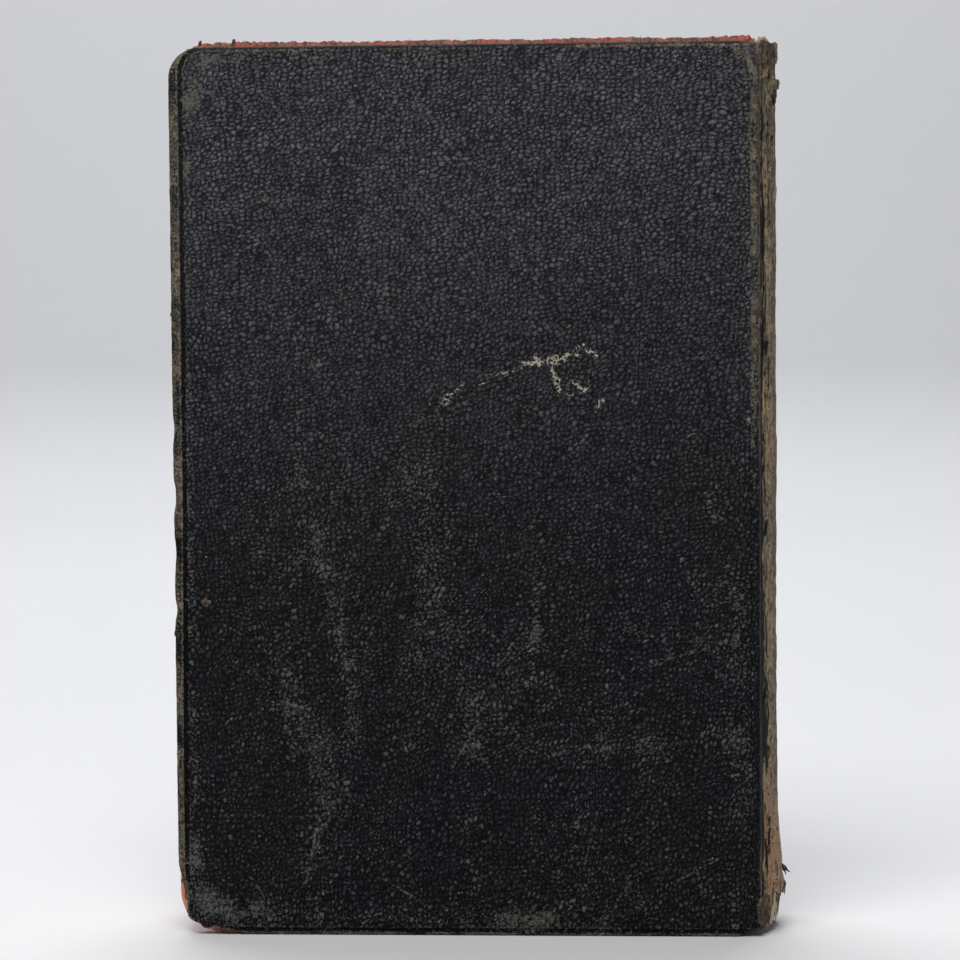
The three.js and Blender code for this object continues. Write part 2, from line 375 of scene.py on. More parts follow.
def leather_material(name):
    """Black pebble-grain leather. The points keep (grain, peak, rubbed) and (bare, olive, scuffed)."""
    s = Surface(name)
    place = s.place()
    wandering = s.bent(place, 1.2, 0.6)
    grain, peak, rubbed = s.kept("surface")
    bare, olive, scuffed = s.kept("marks")
    _, _, height_up = s.parts(place)
    fine = s.noise(place, 2.6, 5)
    hair = s.noise(place, 7.0)
    speck = fine * 0.6 + hair * 0.4
    crumbs = s.cells(wandering, 2.5).step(0.62, 0.12)
    raised = grain * 0.76 + crumbs * 0.26 + speck * 0.86
    # The field: black, with painted shade in the creases, a painted highlight on the higher pebbles, and a
    # painted sheen that lightens and greys it towards the head.
    black = s.mix(s.noise(place, 0.06, 2).step(0.35, 0.65), BLUE_BLACK, BROWN_BLACK)
    painted_sheen = height_up.step(42, 132) * s.noise(place, 0.045, 2).step(0.36, 0.6, 0.78, 1.05)
    # The higher a pebble stands, the brighter its colour: a painted highlight.
    pebble = s.scaled(s.mix(painted_sheen, black, PAINTED_SHEEN_BLACK), raised.step(0.86, 1.44, 0.7, 2.1))
    # The grain's low places take the crease colours: painted shade.
    field = s.mix(raised.step(0.52, 0.98), s.mix(painted_sheen, PAINTED_CREASE_SHADE, PAINTED_CREASE_SHADE_IN_SHEEN), pebble)
    # Pebble tips rubbed to grey: the more rubbed, the more of each pebble shows.
    tip = (crumbs * 0.22 + peak * 0.56 + rubbed + speck * 1.4).step(1.14, 1.66)
    colour = s.mix(tip, field, s.mix(olive, WORN_GREY, OLIVE))
    colour = s.scaled(colour, hair.step(0.3, 0.7, 0.5, 1.5))
    # Finish worn through to brown, tan and olive leather, with black left in the low places.
    through = (speck * 1.1 + bare).step(0.92, 1.2)
    hide = s.mix(s.noise(place, 0.8, 4).step(0.38, 0.68), BROWN, TAN)
    hide = s.scaled(s.mix(olive * 0.8, hide, OLIVE), fine.step(0.3, 0.66, 0.4, 1.35))
    colour = s.mix(through, colour, hide)
    # Scuffs: a net of fine torn lines, closer and wider where the leather is more scuffed.
    net = s.cells(wandering, 1.35, "DISTANCE_TO_EDGE")
    torn = (net - scuffed * fine.step(0.36, 0.52, 0.35, 1.0) * 0.26).step(-0.02, -0.075)
    colour = s.mix(torn, colour, s.scaled(CREAM, hair.step(0.3, 0.7, 0.5, 1.2)))
    dust = s.cells(place, 0.42).step(0.075, 0.03) * speck.step(0.45, 0.6)
    colour = s.mix(dust, colour, WORN_GREY)
    rough = (tip + through).step(0.0, 1.0, 0.48, 0.85) + (fine - 0.5) * 0.3
    height = hair * 0.4 + fine * 0.8 + crumbs * 0.5
    return s.finish(colour, rough, height, 0.16, Specular_IOR_Level=0.1)


def spine_material():
    """Spine leather whose black finish has mostly gone: (height, black left, tan) are kept on its points."""
    s = Surface("worn_spine_leather")
    place = s.place()
    streaks = s.noise(s.place(1, 1, 0.25), 1.6, 5, 0.4)
    fine = s.noise(place, 5.0, 4)
    coarse = s.noise(s.place(1, 1, 0.6), 1.5, 6, 0.3)
    _, black_left, tan = s.kept("surface")
    _, _, height_up = s.parts(place)
    # Brown hide, greyed in places, and ochre where it is torn, redder at the tail.
    hide = s.mix(coarse.step(0.36, 0.6), (0.092, 0.074, 0.052), (0.32, 0.255, 0.165))
    grey = s.noise(s.place(1, 1, 0.4), 0.8, 5).step(0.46, 0.6)
    hide = s.mix(grey * 0.6, hide, (0.135, 0.13, 0.10))
    ochre = s.mix(coarse.step(0.38, 0.6), (0.22, 0.16, 0.098), (0.42, 0.315, 0.195))
    ochre = s.mix(height_up.step(30, 16, 0.0, 0.85), ochre, (0.42, 0.26, 0.155))
    hide = s.mix((tan * 0.5 + streaks).step(0.62, 0.85), hide, ochre)
    # Black: what remains of the finish, flecks, and lines that wander along the spine.
    remains = (fine * 0.4 + streaks * 0.9 + black_left * 0.75).step(1.02, 1.14)
    flecks = s.cells(s.bent(s.place(1, 1, 0.55), 1.5, 0.5), 1.6).step(0.34, 0.16)
    flecks = flecks * s.noise(s.place(1, 1, 0.5), 1.1, 4).step(0.58, 0.46)
    lines = (s.noise(s.bent(s.place(1, 1, 0.2), 0.9, 1.1), 1.3) - 0.5).math("ABSOLUTE")
    lines = lines.step(0.032, 0.01) * s.noise(place, 0.5, 2).step(0.42, 0.56)
    dark = remains.math("MAXIMUM", flecks.math("MAXIMUM", lines) * 0.85)
    colour = s.mix(dark, hide, (0.014, 0.012, 0.0105))
    colour = s.scaled(colour, fine.step(0.32, 0.68, 0.5, 1.5))
    rough = fine.step(0.3, 0.7, 0.62, 0.85)
    return s.finish(colour, rough, fine * 0.7 + coarse * 1.6, 0.24, Specular_IOR_Level=0.25)


def print_lines(s, place):
    """Where the rows of grey strokes are that stand for print: within the margins of a leaf."""
    x, _, z = s.parts(place)
    line = (z * 0.25).math("FRACT")
    on_line = line.step(0.28, 0.32) * line.step(0.66, 0.62)
    words = s.noise(s.place(1.1, 0.01, 0.27), 1.0, 2).step(0.36, 0.38)
    strokes = s.noise(s.place(5.0, 0.01, 2.2), 1.0, 2).step(0.42, 0.52)
    across = x.step(FORE_X + 11, FORE_X + 11.2) * x.step(JOINT_X - 8, JOINT_X - 8.2)
    down = z.step(14, 14.1) * z.step(HEIGHT - 13, HEIGHT - 13.1)
    return words * strokes * on_line * across * down


def paper_material(name, tone, shade, stain_tone=None):
    """Old paper: fibres and foxing. Leaves of the book have print and stained edges too."""
    s = Surface(name)
    place = s.place()
    fibres = s.noise(s.place(1, 1, 2.5), 3.0, 5, 0.6)
    foxing = s.noise(place, 0.12, 5).step(0.58, 0.75)
    colour = s.mix(foxing * 0.35, s.mix(fibres.step(0.3, 0.7), shade, tone), darker(tone, 0.6))
    if stain_tone:
        colour = s.mix(print_lines(s, place) * 0.72, colour, (0.07, 0.055, 0.045))
        edge, _, _ = s.kept("marks")
        stained = (edge + s.noise(place, 1.2, 4) * 0.5).step(0.95, 1.25)
        pale_stain = tuple(0.6 * part + 0.2 for part in stain_tone)
        stain = s.mix(s.noise(place, 0.35, 4).step(0.35, 0.7), stain_tone, pale_stain)
        colour = s.mix(stained, colour, stain)
    height = fibres + s.noise(place, 0.4) * 1.5
    return s.finish(colour, fibres.step(0.3, 0.7, 0.8, 0.95), height, 0.03)


def lining_material():
    """Coral endpaper with a rubbed, fibrous face. The points keep (torn, its cream side, pale), where pale
    marks painted light on the coral.
    """
    s = Surface("coral_endpaper")
    torn, cream_side, pale = s.kept("marks")
    fibres = s.noise(s.place(1, 1, 1.6), 2.2, 5, 0.5)
    mottle = s.noise(s.place(), 0.55, 4)
    colour = s.mix(fibres.step(0.3, 0.7), (0.36, 0.085, 0.055), CORAL)
    colour = s.mix(mottle.step(0.5, 0.75, 0.0, 0.6), colour, (0.52, 0.24, 0.165))
    browned = s.noise(s.place(0.35, 1, 1), 0.9, 4).step(0.44, 0.58)
    colour = s.mix(torn * browned * 0.8, colour, (0.17, 0.105, 0.062))
    specks = s.noise(s.place(1.6, 1, 1), 1.9, 5).step(0.5, 0.58)
    colour = s.mix(torn * specks * 0.8, colour, (0.05, 0.025, 0.018))
    # Painted light: where pale is high, the coral is lightened even though the leather's edge shades it
    # there.
    colour = s.mix(pale * fibres.step(0.25, 0.6, 0.6, 1.0), colour, (0.86, 0.34, 0.22))
    colour = s.mix(cream_side, colour, (0.62, 0.54, 0.40))
    return s.finish(colour, fibres.step(0.3, 0.7, 0.78, 0.95), fibres + mottle * 0.8, 0.06)


def card_material(name, tone):
    """Grey board or brown card: pressed fibres with dark flecks."""
    s = Surface(name)
    place = s.place()
    fibres = s.noise(place, 1.8, 6, 0.8)
    fleck = s.cells(place, 1.1).step(0.14, 0.07)
    colour = s.mix(fibres.step(0.3, 0.7), darker(tone, 0.7), tone)
    colour = s.mix(fleck * 0.5, colour, darker(tone, 0.35))
    return s.finish(colour, fibres.step(0.3, 0.7, 0.85, 0.98), fibres, 0.1)


def woven_material(name, tone, pitch):
    """Plain-woven cloth: threads of that pitch along the spine and across it."""
    s = Surface(name)
    place = s.place()
    _, y, z = s.parts(place)
    turn = 2 * math.pi / pitch
    over = (y * (turn / 2)).math("SINE") * (z * (turn / 2)).math("SINE")
    warp = (y * turn).math("SINE") + over
    weft = (z * turn).math("SINE") - over
    thread = warp.math("MAXIMUM", weft)
    slub = s.noise(place, 2.5, 4)
    colour = s.mix(thread.step(-0.6, 1.0), darker(tone, 0.4), tone)
    colour = s.mix(slub.step(0.45, 0.75, 0.0, 0.4), colour, darker(tone, 0.7))
    return s.finish(colour, slub.step(0.3, 0.7, 0.85, 0.97), thread + slub, 0.05)


def endband_material():
    """Silk wound round a core, red and cream in turn."""
    s = Surface("endband_silk")
    place = s.place()
    _, y, z = s.parts(place)
    fine = s.noise(place, 8.0)
    stripe = (y * 0.55 + z * 0.12).math("FRACT").step(0.48, 0.52)
    colour = s.mix(stripe, (0.36, 0.045, 0.03), (0.62, 0.55, 0.40))
    colour = s.mix(fine.step(0.4, 0.7, 0.0, 0.5), colour, (0.16, 0.10, 0.07))
    strand = ((y + z * 0.25) * 26.0).math("SINE")
    return s.finish(colour, fine.step(0.3, 0.7, 0.4, 0.6), strand + fine, 0.05, Sheen_Weight=0.3)


def stage_material(name, tone):
    """The floor and backdrop: matt paper, hardly mottled."""
    s = Surface(name)
    cloud = s.noise(s.add("ShaderNodeTexCoord", {}, "Object"), 3.0)
    return s.finish(s.mix(cloud, darker(tone, 0.985), tone), 0.75)


# ---------------------------------------------------------------- how the covers' leather looks
EDGE_ROLL = 0.7  # radius of the leather's roll over a board's edge
INNER_ROLL = 0.5  # radius of its roll onto the inside
MARGIN_LEATHER = 0.42  # thickness of the margin turned in over the board
JOINT_EDGE_X = JOINT_X - 0.1  # where a cover's leather ends at its joint
BEYOND_JOINT_X = JOINT_X + 9  # so far past the joint that an outline has only three sides on the cover


GRAIN_HEIGHT = 0.19
LINE_IN_FORE = 2.0  # the tooled line's distance in from the fore-edge, and so on
LINE_IN_TAIL = 0.95
LINE_IN_HEAD = 0.25
LINE_CORNER = 3.6
GROOVE_DEPTH = 0.32
EDGE_SINK = 0.12  # how much lower the leather lies outside the tooled line


def corner_drop(distance, radius):
    """How far a rounded corner's edge lies inside the square corner, at a distance from the side."""
    inside = np.clip(radius - distance, 0, radius)
    return radius - np.sqrt(radius**2 - inside**2)


def inside_distance(x, z, left, right, bottom, top, radius):
    """How far inside a rounded rectangle a place lies, below 0 outside it."""
    over_x = np.abs(x - (left + right) / 2) - (right - left) / 2 + radius
    over_z = np.abs(z - (bottom + top) / 2) - (top - bottom) / 2 + radius
    outer = np.hypot(np.maximum(over_x, 0), np.maximum(over_z, 0))
    return radius - outer - np.minimum(np.maximum(over_x, over_z), 0)


def stroke(u, v, places, width):
    """1 on a line through the places, fading to 0 beside it."""
    nearest = np.full(np.shape(u), 1e9)
    for (u0, v0), (u1, v1) in zip(places[:-1], places[1:]):
        run_u, run_v = u1 - u0, v1 - v0
        t = ((u - u0) * run_u + (v - v0) * run_v) / (run_u**2 + run_v**2 + 1e-9)
        t = np.clip(t, 0, 1)
        nearest = np.minimum(nearest, np.hypot(u - u0 - t * run_u, v - v0 - t * run_v))
    return bell(nearest, width)


@dataclass
class Wear:
    """How one cover has worn. Places are (u, v)."""

    seed: int
    head_loss: float  # leather worn off the head edge
    corners: tuple  # radius at fore tail, fore head, spine tail and spine head
    rubs: list  # (places, width, rubbed, olive, bare)
    scuffs: list  # (places, width, share)
    spots: list  # (u, v, radius)
    notches: list  # (u, v, length, depth) of nicks in the edge
    bites: list  # (u, v, reach, inward, upward) where the whole edge is drawn in
    edges: tuple  # how bare the leather is outside the tooled line at fore-edge, tail and head
    joint: tuple  # how bare it is along the joint, at the tail and at the head
    lost_line: tuple  # (u, v, radius) where the tooled line has worn away


BACK_RUBS = [  # places, width, rubbed, olive, bare
    ([(19.3, 94), (20, 76), (23.5, 59), (26.6, 46.5), (28.5, 30.5)], 1.5, 0.26, 0.3, 0),
    ([(24, 88), (25, 62), (30, 40)], 4.5, 0.16, 0.3, 0),
    ([(14, 70), (18, 50), (21, 26)], 4.0, 0.14, 0.2, 0),
    ([(35.7, 78), (39.6, 59), (36.6, 49.5), (37, 30)], 2.6, 0.14, 0.2, 0),
    ([(42, 59), (46.4, 43), (48, 24)], 3.2, 0.06, 0.2, 0),
    ([(57.6, 69), (56.8, 46)], 1.0, 0.22, 0, 0),
    ([(36, 31), (60, 29), (90, 33)], 2.4, 0.08, 0.3, 0),
    ([(60, 29.6), (78, 29.8)], 0.7, 0.14, 0.3, 0),
    ([(74, 61), (90, 53)], 2.0, 0.08, 0.2, 0),
    ([(66, 49), (88, 46)], 0.5, 0.16, 0.2, 0),
    ([(72, 42), (88, 47)], 0.5, 0.24, 0.2, 0),
    ([(18.8, 97.5), (28, 99.5), (37.4, 101.3)], 2.6, 0.22, 0.5, 0),
    ([(3.1, 122), (3.0, 95), (2.9, 60), (3.0, 10)], 0.8, 0.36, 0.4, 0),
    ([(4.3, 136.0), (4.3, 131.0)], 2.3, 0.58, 0.9, 0),
    ([(3.2, 131), (3.0, 120)], 0.9, 0.44, 0.8, 0),
    ([(4.5, 137.4), (16, 137.9)], 1.3, 0.52, 0.9, 0),
    ([(20, 137.6), (27, 137.3)], 1.1, 0.34, 0.9, 0.1),
    ([(38, 137.6), (48, 137.2)], 1.1, 0.3, 0.9, 0.1),
    ([(5, 4.4), (24, 2.8), (62, 3.0)], 2.0, 0.22, 0.4, 0),
    ([(52, 3.0), (61, 3.2)], 1.2, 0.12, 0.9, 0.12),
    ([(2.5, 12), (3.5, 7), (9, 2.6)], 2.6, 0.24, 0.6, 0.1),
    ([(89.5, 137), (90.6, 128), (90.9, 88)], 1.5, 0.46, 0.9, 0.1),
    ([(64, 138.9), (84, 138.8), (90, 137.8), (91, 134)], 0.7, 0.2, 0.3, 0.5),
    ([(16, 116), (21, 130)], 0.4, 0.3, 0.5, 0),
    ([(62, 108), (64, 80), (62, 62)], 2.4, 0.12, 0, 0),
    ([(10, 50), (24, 28), (22, 8)], 3.4, 0.16, 0, 0),
]
BACK_SCUFFS = [  # places, width, share
    ([(42.9, 83.9), (43.6, 85.0)], 0.6, 0.66),
    ([(41.4, 82.6), (42.8, 84.0)], 0.25, 0.45),
    ([(43.6, 85.0), (45.8, 86.6)], 0.2, 0.85),
    ([(48.2, 86.7), (49.4, 87.0)], 0.2, 0.6),
    ([(49.4, 88.0), (51.8, 88.4)], 0.2, 0.55),
    ([(51.8, 88.5), (53.2, 88.6)], 0.26, 0.85),
    ([(53.2, 88.6), (55.4, 89.4)], 0.22, 0.8),
    ([(55.3, 90.0), (56.6, 89.8), (57.6, 90.4)], 0.34, 1.0),
    ([(57.2, 91.0), (57.6, 89.8)], 0.42, 1.05),
    ([(57.8, 90.4), (59.4, 90.5), (60.6, 90.3)], 0.85, 0.62),
    ([(60.2, 90.9), (61.4, 90.5)], 0.4, 0.85),
    ([(61.7, 91.1), (62.6, 91.4)], 0.26, 0.95),
    ([(63.2, 91.3), (63.8, 91.1)], 0.24, 0.8),
    ([(63.6, 92.4), (64.6, 92.8)], 0.28, 0.7),
    ([(65.4, 91.9), (66.4, 91.2)], 0.5, 0.95),
    ([(59.5, 89.4), (59.8, 88.2), (60.4, 86.6), (60.9, 85.7)], 0.36, 0.8),
    ([(60.2, 88.4), (60.9, 87.2)], 0.3, 0.7),
    ([(62.9, 87.2), (63.8, 86.2), (64.6, 85.4)], 0.34, 0.8),
    ([(65.2, 87.3), (65.3, 86.4), (64.6, 85.6)], 0.24, 0.85),
    ([(66.8, 83.2), (67.0, 84.0), (67.8, 84.3)], 0.28, 0.9),
    ([(62.0, 85.0), (62.8, 85.2)], 0.5, 0.45),
    ([(90.2, 81.0), (90.4, 80.8)], 0.3, 0.7),
    ([(87.3, 1.8), (88.7, 1.9)], 0.26, 0.6),
    ([(83.2, 4.4), (84.0, 5.8)], 0.22, 0.45),
]
BACK_WEAR = Wear(
    seed=11,
    head_loss=0.5,
    corners=(7.2, 5.0, 3.4, 2.4),
    rubs=BACK_RUBS,
    scuffs=BACK_SCUFFS,
    spots=[(15.1, 115.8, 0.6), (16.2, 117.3, 0.35), (3.2, 112.6, 0.6), (5.1, 52.7, 0.75), (90, 80.9, 0.5)],
    notches=[
        (0, 80, 2.0, 0.3),
        (0, 69.5, 2.2, 0.5),
        (0, 60.5, 3.0, 0.3),
        (0, 51.5, 1.4, 0.5),
        (14, 0, 1.2, 0.3),
    ],
    bites=[(0.2, 6.2, 2.3, 0.85, 0.0), (6.2, 0.2, 2.4, 0.0, 0.7)],
    edges=(0.5, 0.6, 0.0),
    joint=(0.05, 0.5),
    lost_line=(2.5, 2.5, 6.0),
)

FRONT_WEAR = Wear(
    seed=47,
    head_loss=0.25,
    corners=(5.4, 5.0, 2.0, 1.6),
    rubs=[
        ([(30, 120), (36, 90), (33, 60)], 2.4, 0.2, 0.1, 0),
        ([(60, 100), (66, 70), (70, 40)], 1.8, 0.24, 0.1, 0),
        ([(20, 30), (50, 26), (80, 32)], 1.4, 0.24, 0.2, 0),
        ([(3.0, 132), (3.1, 95), (3.0, 60), (3.1, 8)], 0.7, 0.4, 0.4, 0),
        ([(4, 3.6), (24, 2.8), (88, 3.2)], 2.0, 0.34, 0.4, 0),
        ([(4, 136), (30, 137), (88, 137)], 1.2, 0.3, 0.6, 0),
        ([(46, 84), (58, 74)], 0.35, 0.4, 0.3, 0),
    ],
    scuffs=[([(24, 44), (29, 47)], 0.35, 0.8)],
    spots=[(70, 118, 0.5), (12, 70, 0.4)],
    notches=[(0, 4.5, 2.6, 0.35), (0, 96, 1.6, 0.3)],
    bites=[],
    edges=(0.42, 0.5, 0.4),
    joint=(0.25, 0.4),
    lost_line=(2.0, 2.0, 3.0),
)


def scratches(u, v, seed, count, lengths, depths):
    """Fine scratches at all angles, most of them in the lower half."""
    rng = np.random.default_rng(seed)
    marks = np.zeros_like(u)
    for _ in range(count):
        start_u, start_v = rng.uniform(4, 90), rng.uniform(3, 138) * rng.uniform(0.4, 1)
        angle, length = rng.normal(0.7, 0.8), rng.uniform(*lengths)
        end = (start_u + length * math.cos(angle), start_v + length * math.sin(angle))
        marks = np.maximum(marks, rng.uniform(*depths) * stroke(u, v, [(start_u, start_v), end], 0.16))
    return marks


def tooling(x, z, wear):
    """The blind-tooled line: how far inside it a place is, its groove, its ridge, and 1 where it is left."""
    low_down = 1 - smooth(z, 20, 75)
    fore, top = FORE_X + LINE_IN_FORE - 0.4 * low_down, HEIGHT - wear.head_loss - LINE_IN_HEAD
    line = inside_distance(x, z, fore, BEYOND_JOINT_X, LINE_IN_TAIL, top, LINE_CORNER)
    worn_u, worn_v, radius = wear.lost_line
    left = smooth(np.hypot(x - FORE_X - worn_u, z - worn_v), radius - 1, radius + 1)
    wider = 0.16 * low_down * (x - FORE_X < 4)
    return line, bell(line, 0.3 + wider) * left, bell(line - 0.42, 0.16) * left, left


def rubbing(x, z, wear):
    """How rubbed, olive and bare: a little everywhere, more towards the tail, and along each rub."""
    u, seed = x - FORE_X, wear.seed
    down = HEIGHT - z
    lower = 0.25 + 0.75 * smooth(down, 25, 75)
    rubbed = 0.06 + 0.13 * lower * noise(x * 1.6, z, 24, seed + 30) + 0.09 * smooth(down, 20, 110)
    rubbed += 0.2 * lower * np.maximum(noise(x * 3.2, z * 0.9, 22, seed + 31, 4), 0)
    rubbed += 0.13 * lower * smooth(noise(x * 1.8, z, 6, seed + 44, 4), -0.2, 0.6)
    rubbed += scratches(u, z, seed + 39, 48, (3, 13), (0.1, 0.34))
    olive = 0.25 * smooth(noise(x, z, 16, seed + 32), 0.1, 0.6)
    bare = np.zeros_like(u)
    uneven = 0.75 + 0.7 * noise(x, z, 2.4, seed + 33)
    for places, width, rub, tint, worn in wear.rubs:
        near = stroke(u, z, places, width) * uneven
        rubbed += rub * near
        olive = np.maximum(olive, tint * near)
        bare += worn * near
    return rubbed, olive, bare


def scuffing(x, z, wear, creases):
    """How torn the surface is: short scratches, and the scuffs, strongest in the creases."""
    u, seed = x - FORE_X, wear.seed
    scuffed = scratches(u, z, seed + 42, 34, (0.3, 1.4), (0.3, 0.52))
    uneven = (0.95 + 0.5 * noise(x, z, 1.1, seed + 34, 2)) * (0.75 + 0.5 * creases)
    for places, width, share in wear.scuffs:
        scuffed = np.maximum(scuffed, share * stroke(u, z, places, width) * uneven)
    return scuffed


def cover_look(x, z, wear):
    """The relief of a cover's outer face, and the values its material reads."""
    u, v, seed = x - FORE_X, z, wear.seed
    line, groove, ridge, tooled = tooling(x, z, wear)
    band = smooth(-line, 0.2, 0.5)
    grain, peak = pebbles(x, z, seed)
    scuffed = scuffing(x, z, wear, (1 - grain) ** 2)
    grain = grain * (1 - groove) * (1 - 0.5 * band)
    rubbed, olive, bare = rubbing(x, z, wear)
    for spot_u, spot_v, radius in wear.spots:
        ragged = radius * (1 + 0.4 * noise(x, z, 0.7, seed + 35, 2))
        spot = smooth(ragged - np.hypot(u - spot_u, v - spot_v), -0.15, 0.25)
        bare += 0.9 * spot * (0.5 + 0.5 * grain)
    # Outside the tooled line, and along the joint, the finish is worn through. Near the fore-edge the
    # groove's outer lip is lighter: worn leather and a painted highlight.
    fore, tail, head = wear.edges
    side = np.where(u < 4, fore, np.where(v < 3.4, tail, head + 0.45 * smooth(u, 50, 86)))
    lip_wear_and_highlight = bell(line + 0.56, 0.13) * tooled
    mottle = noise(x, z, 3.2, seed + 36, 4)
    bare += band * side * (1 + 0.7 * mottle) + 0.22 * lip_wear_and_highlight * (u < 6)
    bare += ridge * (0.12 + 0.5 * smooth(v, 124, 136)) * (1 + 0.5 * mottle)
    olive = np.maximum(olive, band * (0.55 + 0.6 * noise(x, z, 5, seed + 43)))
    joint_tail, joint_head = wear.joint
    at_joint = joint_tail + (joint_head - joint_tail) * smooth(v, 55, 110)
    bare += at_joint * (1 - smooth(JOINT_EDGE_X - x + 0.4 * mottle, 0.1, 1.3))
    # Where the tooled line has gone, at one corner, the edge is a brown lip with grey pebbles inside it.
    from_edge = inside_distance(x, z, FORE_X, BEYOND_JOINT_X, 0, HEIGHT - wear.head_loss, wear.corners[0])
    lip = (1 - tooled) * (1 - smooth(from_edge + 0.4 * mottle, 0.6, 1.3))
    bare += 0.5 * lip * (1 + 0.6 * mottle)
    rubbed += 0.2 * (1 - tooled) * (1 - lip) + 0.24 * ridge
    flattened = smooth(noise(x, z, 34, seed + 20, 2) - 0.5 * v / HEIGHT, -0.45, 0.3)
    lift = GRAIN_HEIGHT * (grain - 0.6) * (1 - 0.35 * flattened) - GROOVE_DEPTH * groove + 0.05 * ridge
    lift = lift + 0.05 * noise(x, z, 22, seed + 37) - EDGE_SINK * smooth(-line, 0.2, 1.6)
    lift = lift - 0.06 * smooth(scuffed, 0.3, 0.7) + 0.09 * band * mottle
    return lift, np.stack([grain, peak, rubbed], -1), np.stack([bare, olive, scuffed], -1)


def edge_loss(x, z, wear):
    """How much the edge of a cover has lost at a place on its outline."""
    u, v = x - FORE_X, z
    loss = 0.05 + 0.07 * noise(x + z, x - z, 2.2, wear.seed + 40)
    for notch_u, notch_v, length, depth in wear.notches:
        loss += depth * bell(np.hypot(u - notch_u, v - notch_v), length)
    worn_u, worn_v, worn_radius = wear.lost_line
    worn_corner = 1 - smooth(np.hypot(u - worn_u, v - worn_v), worn_radius, worn_radius + 5)
    loss += worn_corner * (0.2 + 0.55 * noise(x + z, x - z, 1.2, wear.seed + 41))
    return np.clip(loss, 0, 0.6)


def drawn_in(x, z, wear):
    """Places of a cover, moved where its edges are drawn in."""
    u, v = x - FORE_X, z
    for bite_u, bite_v, reach, inward, upward in wear.bites:
        near = bell(np.hypot(u - bite_u, v - bite_v), reach)
        x, z = x + inward * near, z + upward * near
    return x, z


def cover_grid(wear, spacing):
    """Places of a grid over a cover's flat, up to where its edges roll over."""
    fore_tail, fore_head, spine_tail, spine_head = [radius - EDGE_ROLL for radius in wear.corners]
    fore, spine = max(fore_tail, fore_head), max(spine_tail, spine_head)
    left, right = FORE_X + EDGE_ROLL, JOINT_EDGE_X - EDGE_ROLL
    bottom, top = EDGE_ROLL, HEIGHT - wear.head_loss - EDGE_ROLL
    fore_turn = np.linspace(0, math.pi / 2, int(fore * 1.57 / spacing) + 2)
    spine_turn = np.linspace(math.pi / 2, 0, int(spine * 1.57 / spacing) + 2)
    middle = np.linspace(left + fore, right - spine, int((right - left - fore - spine) / spacing) + 1)
    fore_x, spine_x = left + fore * (1 - np.cos(fore_turn)), right - spine * (1 - np.cos(spine_turn))
    x = np.concatenate([fore_x, middle[1:-1], spine_x])
    low = bottom + corner_drop(x - left, fore_tail) + corner_drop(right - x, spine_tail)
    high = top - corner_drop(x - left, fore_head) - corner_drop(right - x, spine_head)
    share = np.linspace(0, 1, int((top - bottom) / spacing) + 1)[:, None]
    return np.broadcast_to(x, (len(share), len(x))), low + share * (high - low)


def outward(loop):
    """The outward direction at each place of a closed outline that runs anticlockwise."""
    run = np.roll(loop, -1, 0) - np.roll(loop, 1, 0)
    run /= np.linalg.norm(run, axis=1, keepdims=True) + 1e-12
    return np.stack([run[:, 1], -run[:, 0]], 1)


def moved_out(loop, out):
    """A closed outline moved outward by out at each place, or inward within its own box."""
    away = outward(loop)
    moved = loop + away * np.asarray(out).reshape(-1, 1)
    inset = np.maximum(-np.max(out), 0)
    return np.clip(moved, loop.min(0) + inset, loop.max(0) - inset) if inset else moved


def edge_profile():
    """From the edge of a cover's flat to its inside: how far out, how deep, and what is left of the grain."""
    turns = np.radians([15, 30, 45, 60, 75, 90])
    profile = [(EDGE_ROLL * math.sin(a), EDGE_ROLL * (1 - math.cos(a)), math.cos(a)) for a in turns]
    profile.append((EDGE_ROLL, 1.0, 0))
    for a in turns[1::2]:
        out = EDGE_ROLL - INNER_ROLL * (1 - math.cos(a))
        profile.append((out, COVER_DEPTH - INNER_ROLL + INNER_ROLL * math.sin(a), 0))
    return profile


def margin_profile():
    """The margin turned in over the board, and back beneath it, in the same terms."""
    top, under = COVER_DEPTH, COVER_DEPTH - MARGIN_LEATHER
    outs = [-1, -4, -9.8, -10, -10, -9.8, -0.1, 0.08, 0.08]
    depths = [top, top, top, top - 0.15, under + 0.05, under, under, under - 0.2, LEATHER]
    return [(out, depth, 0) for out, depth in zip(outs, depths)]


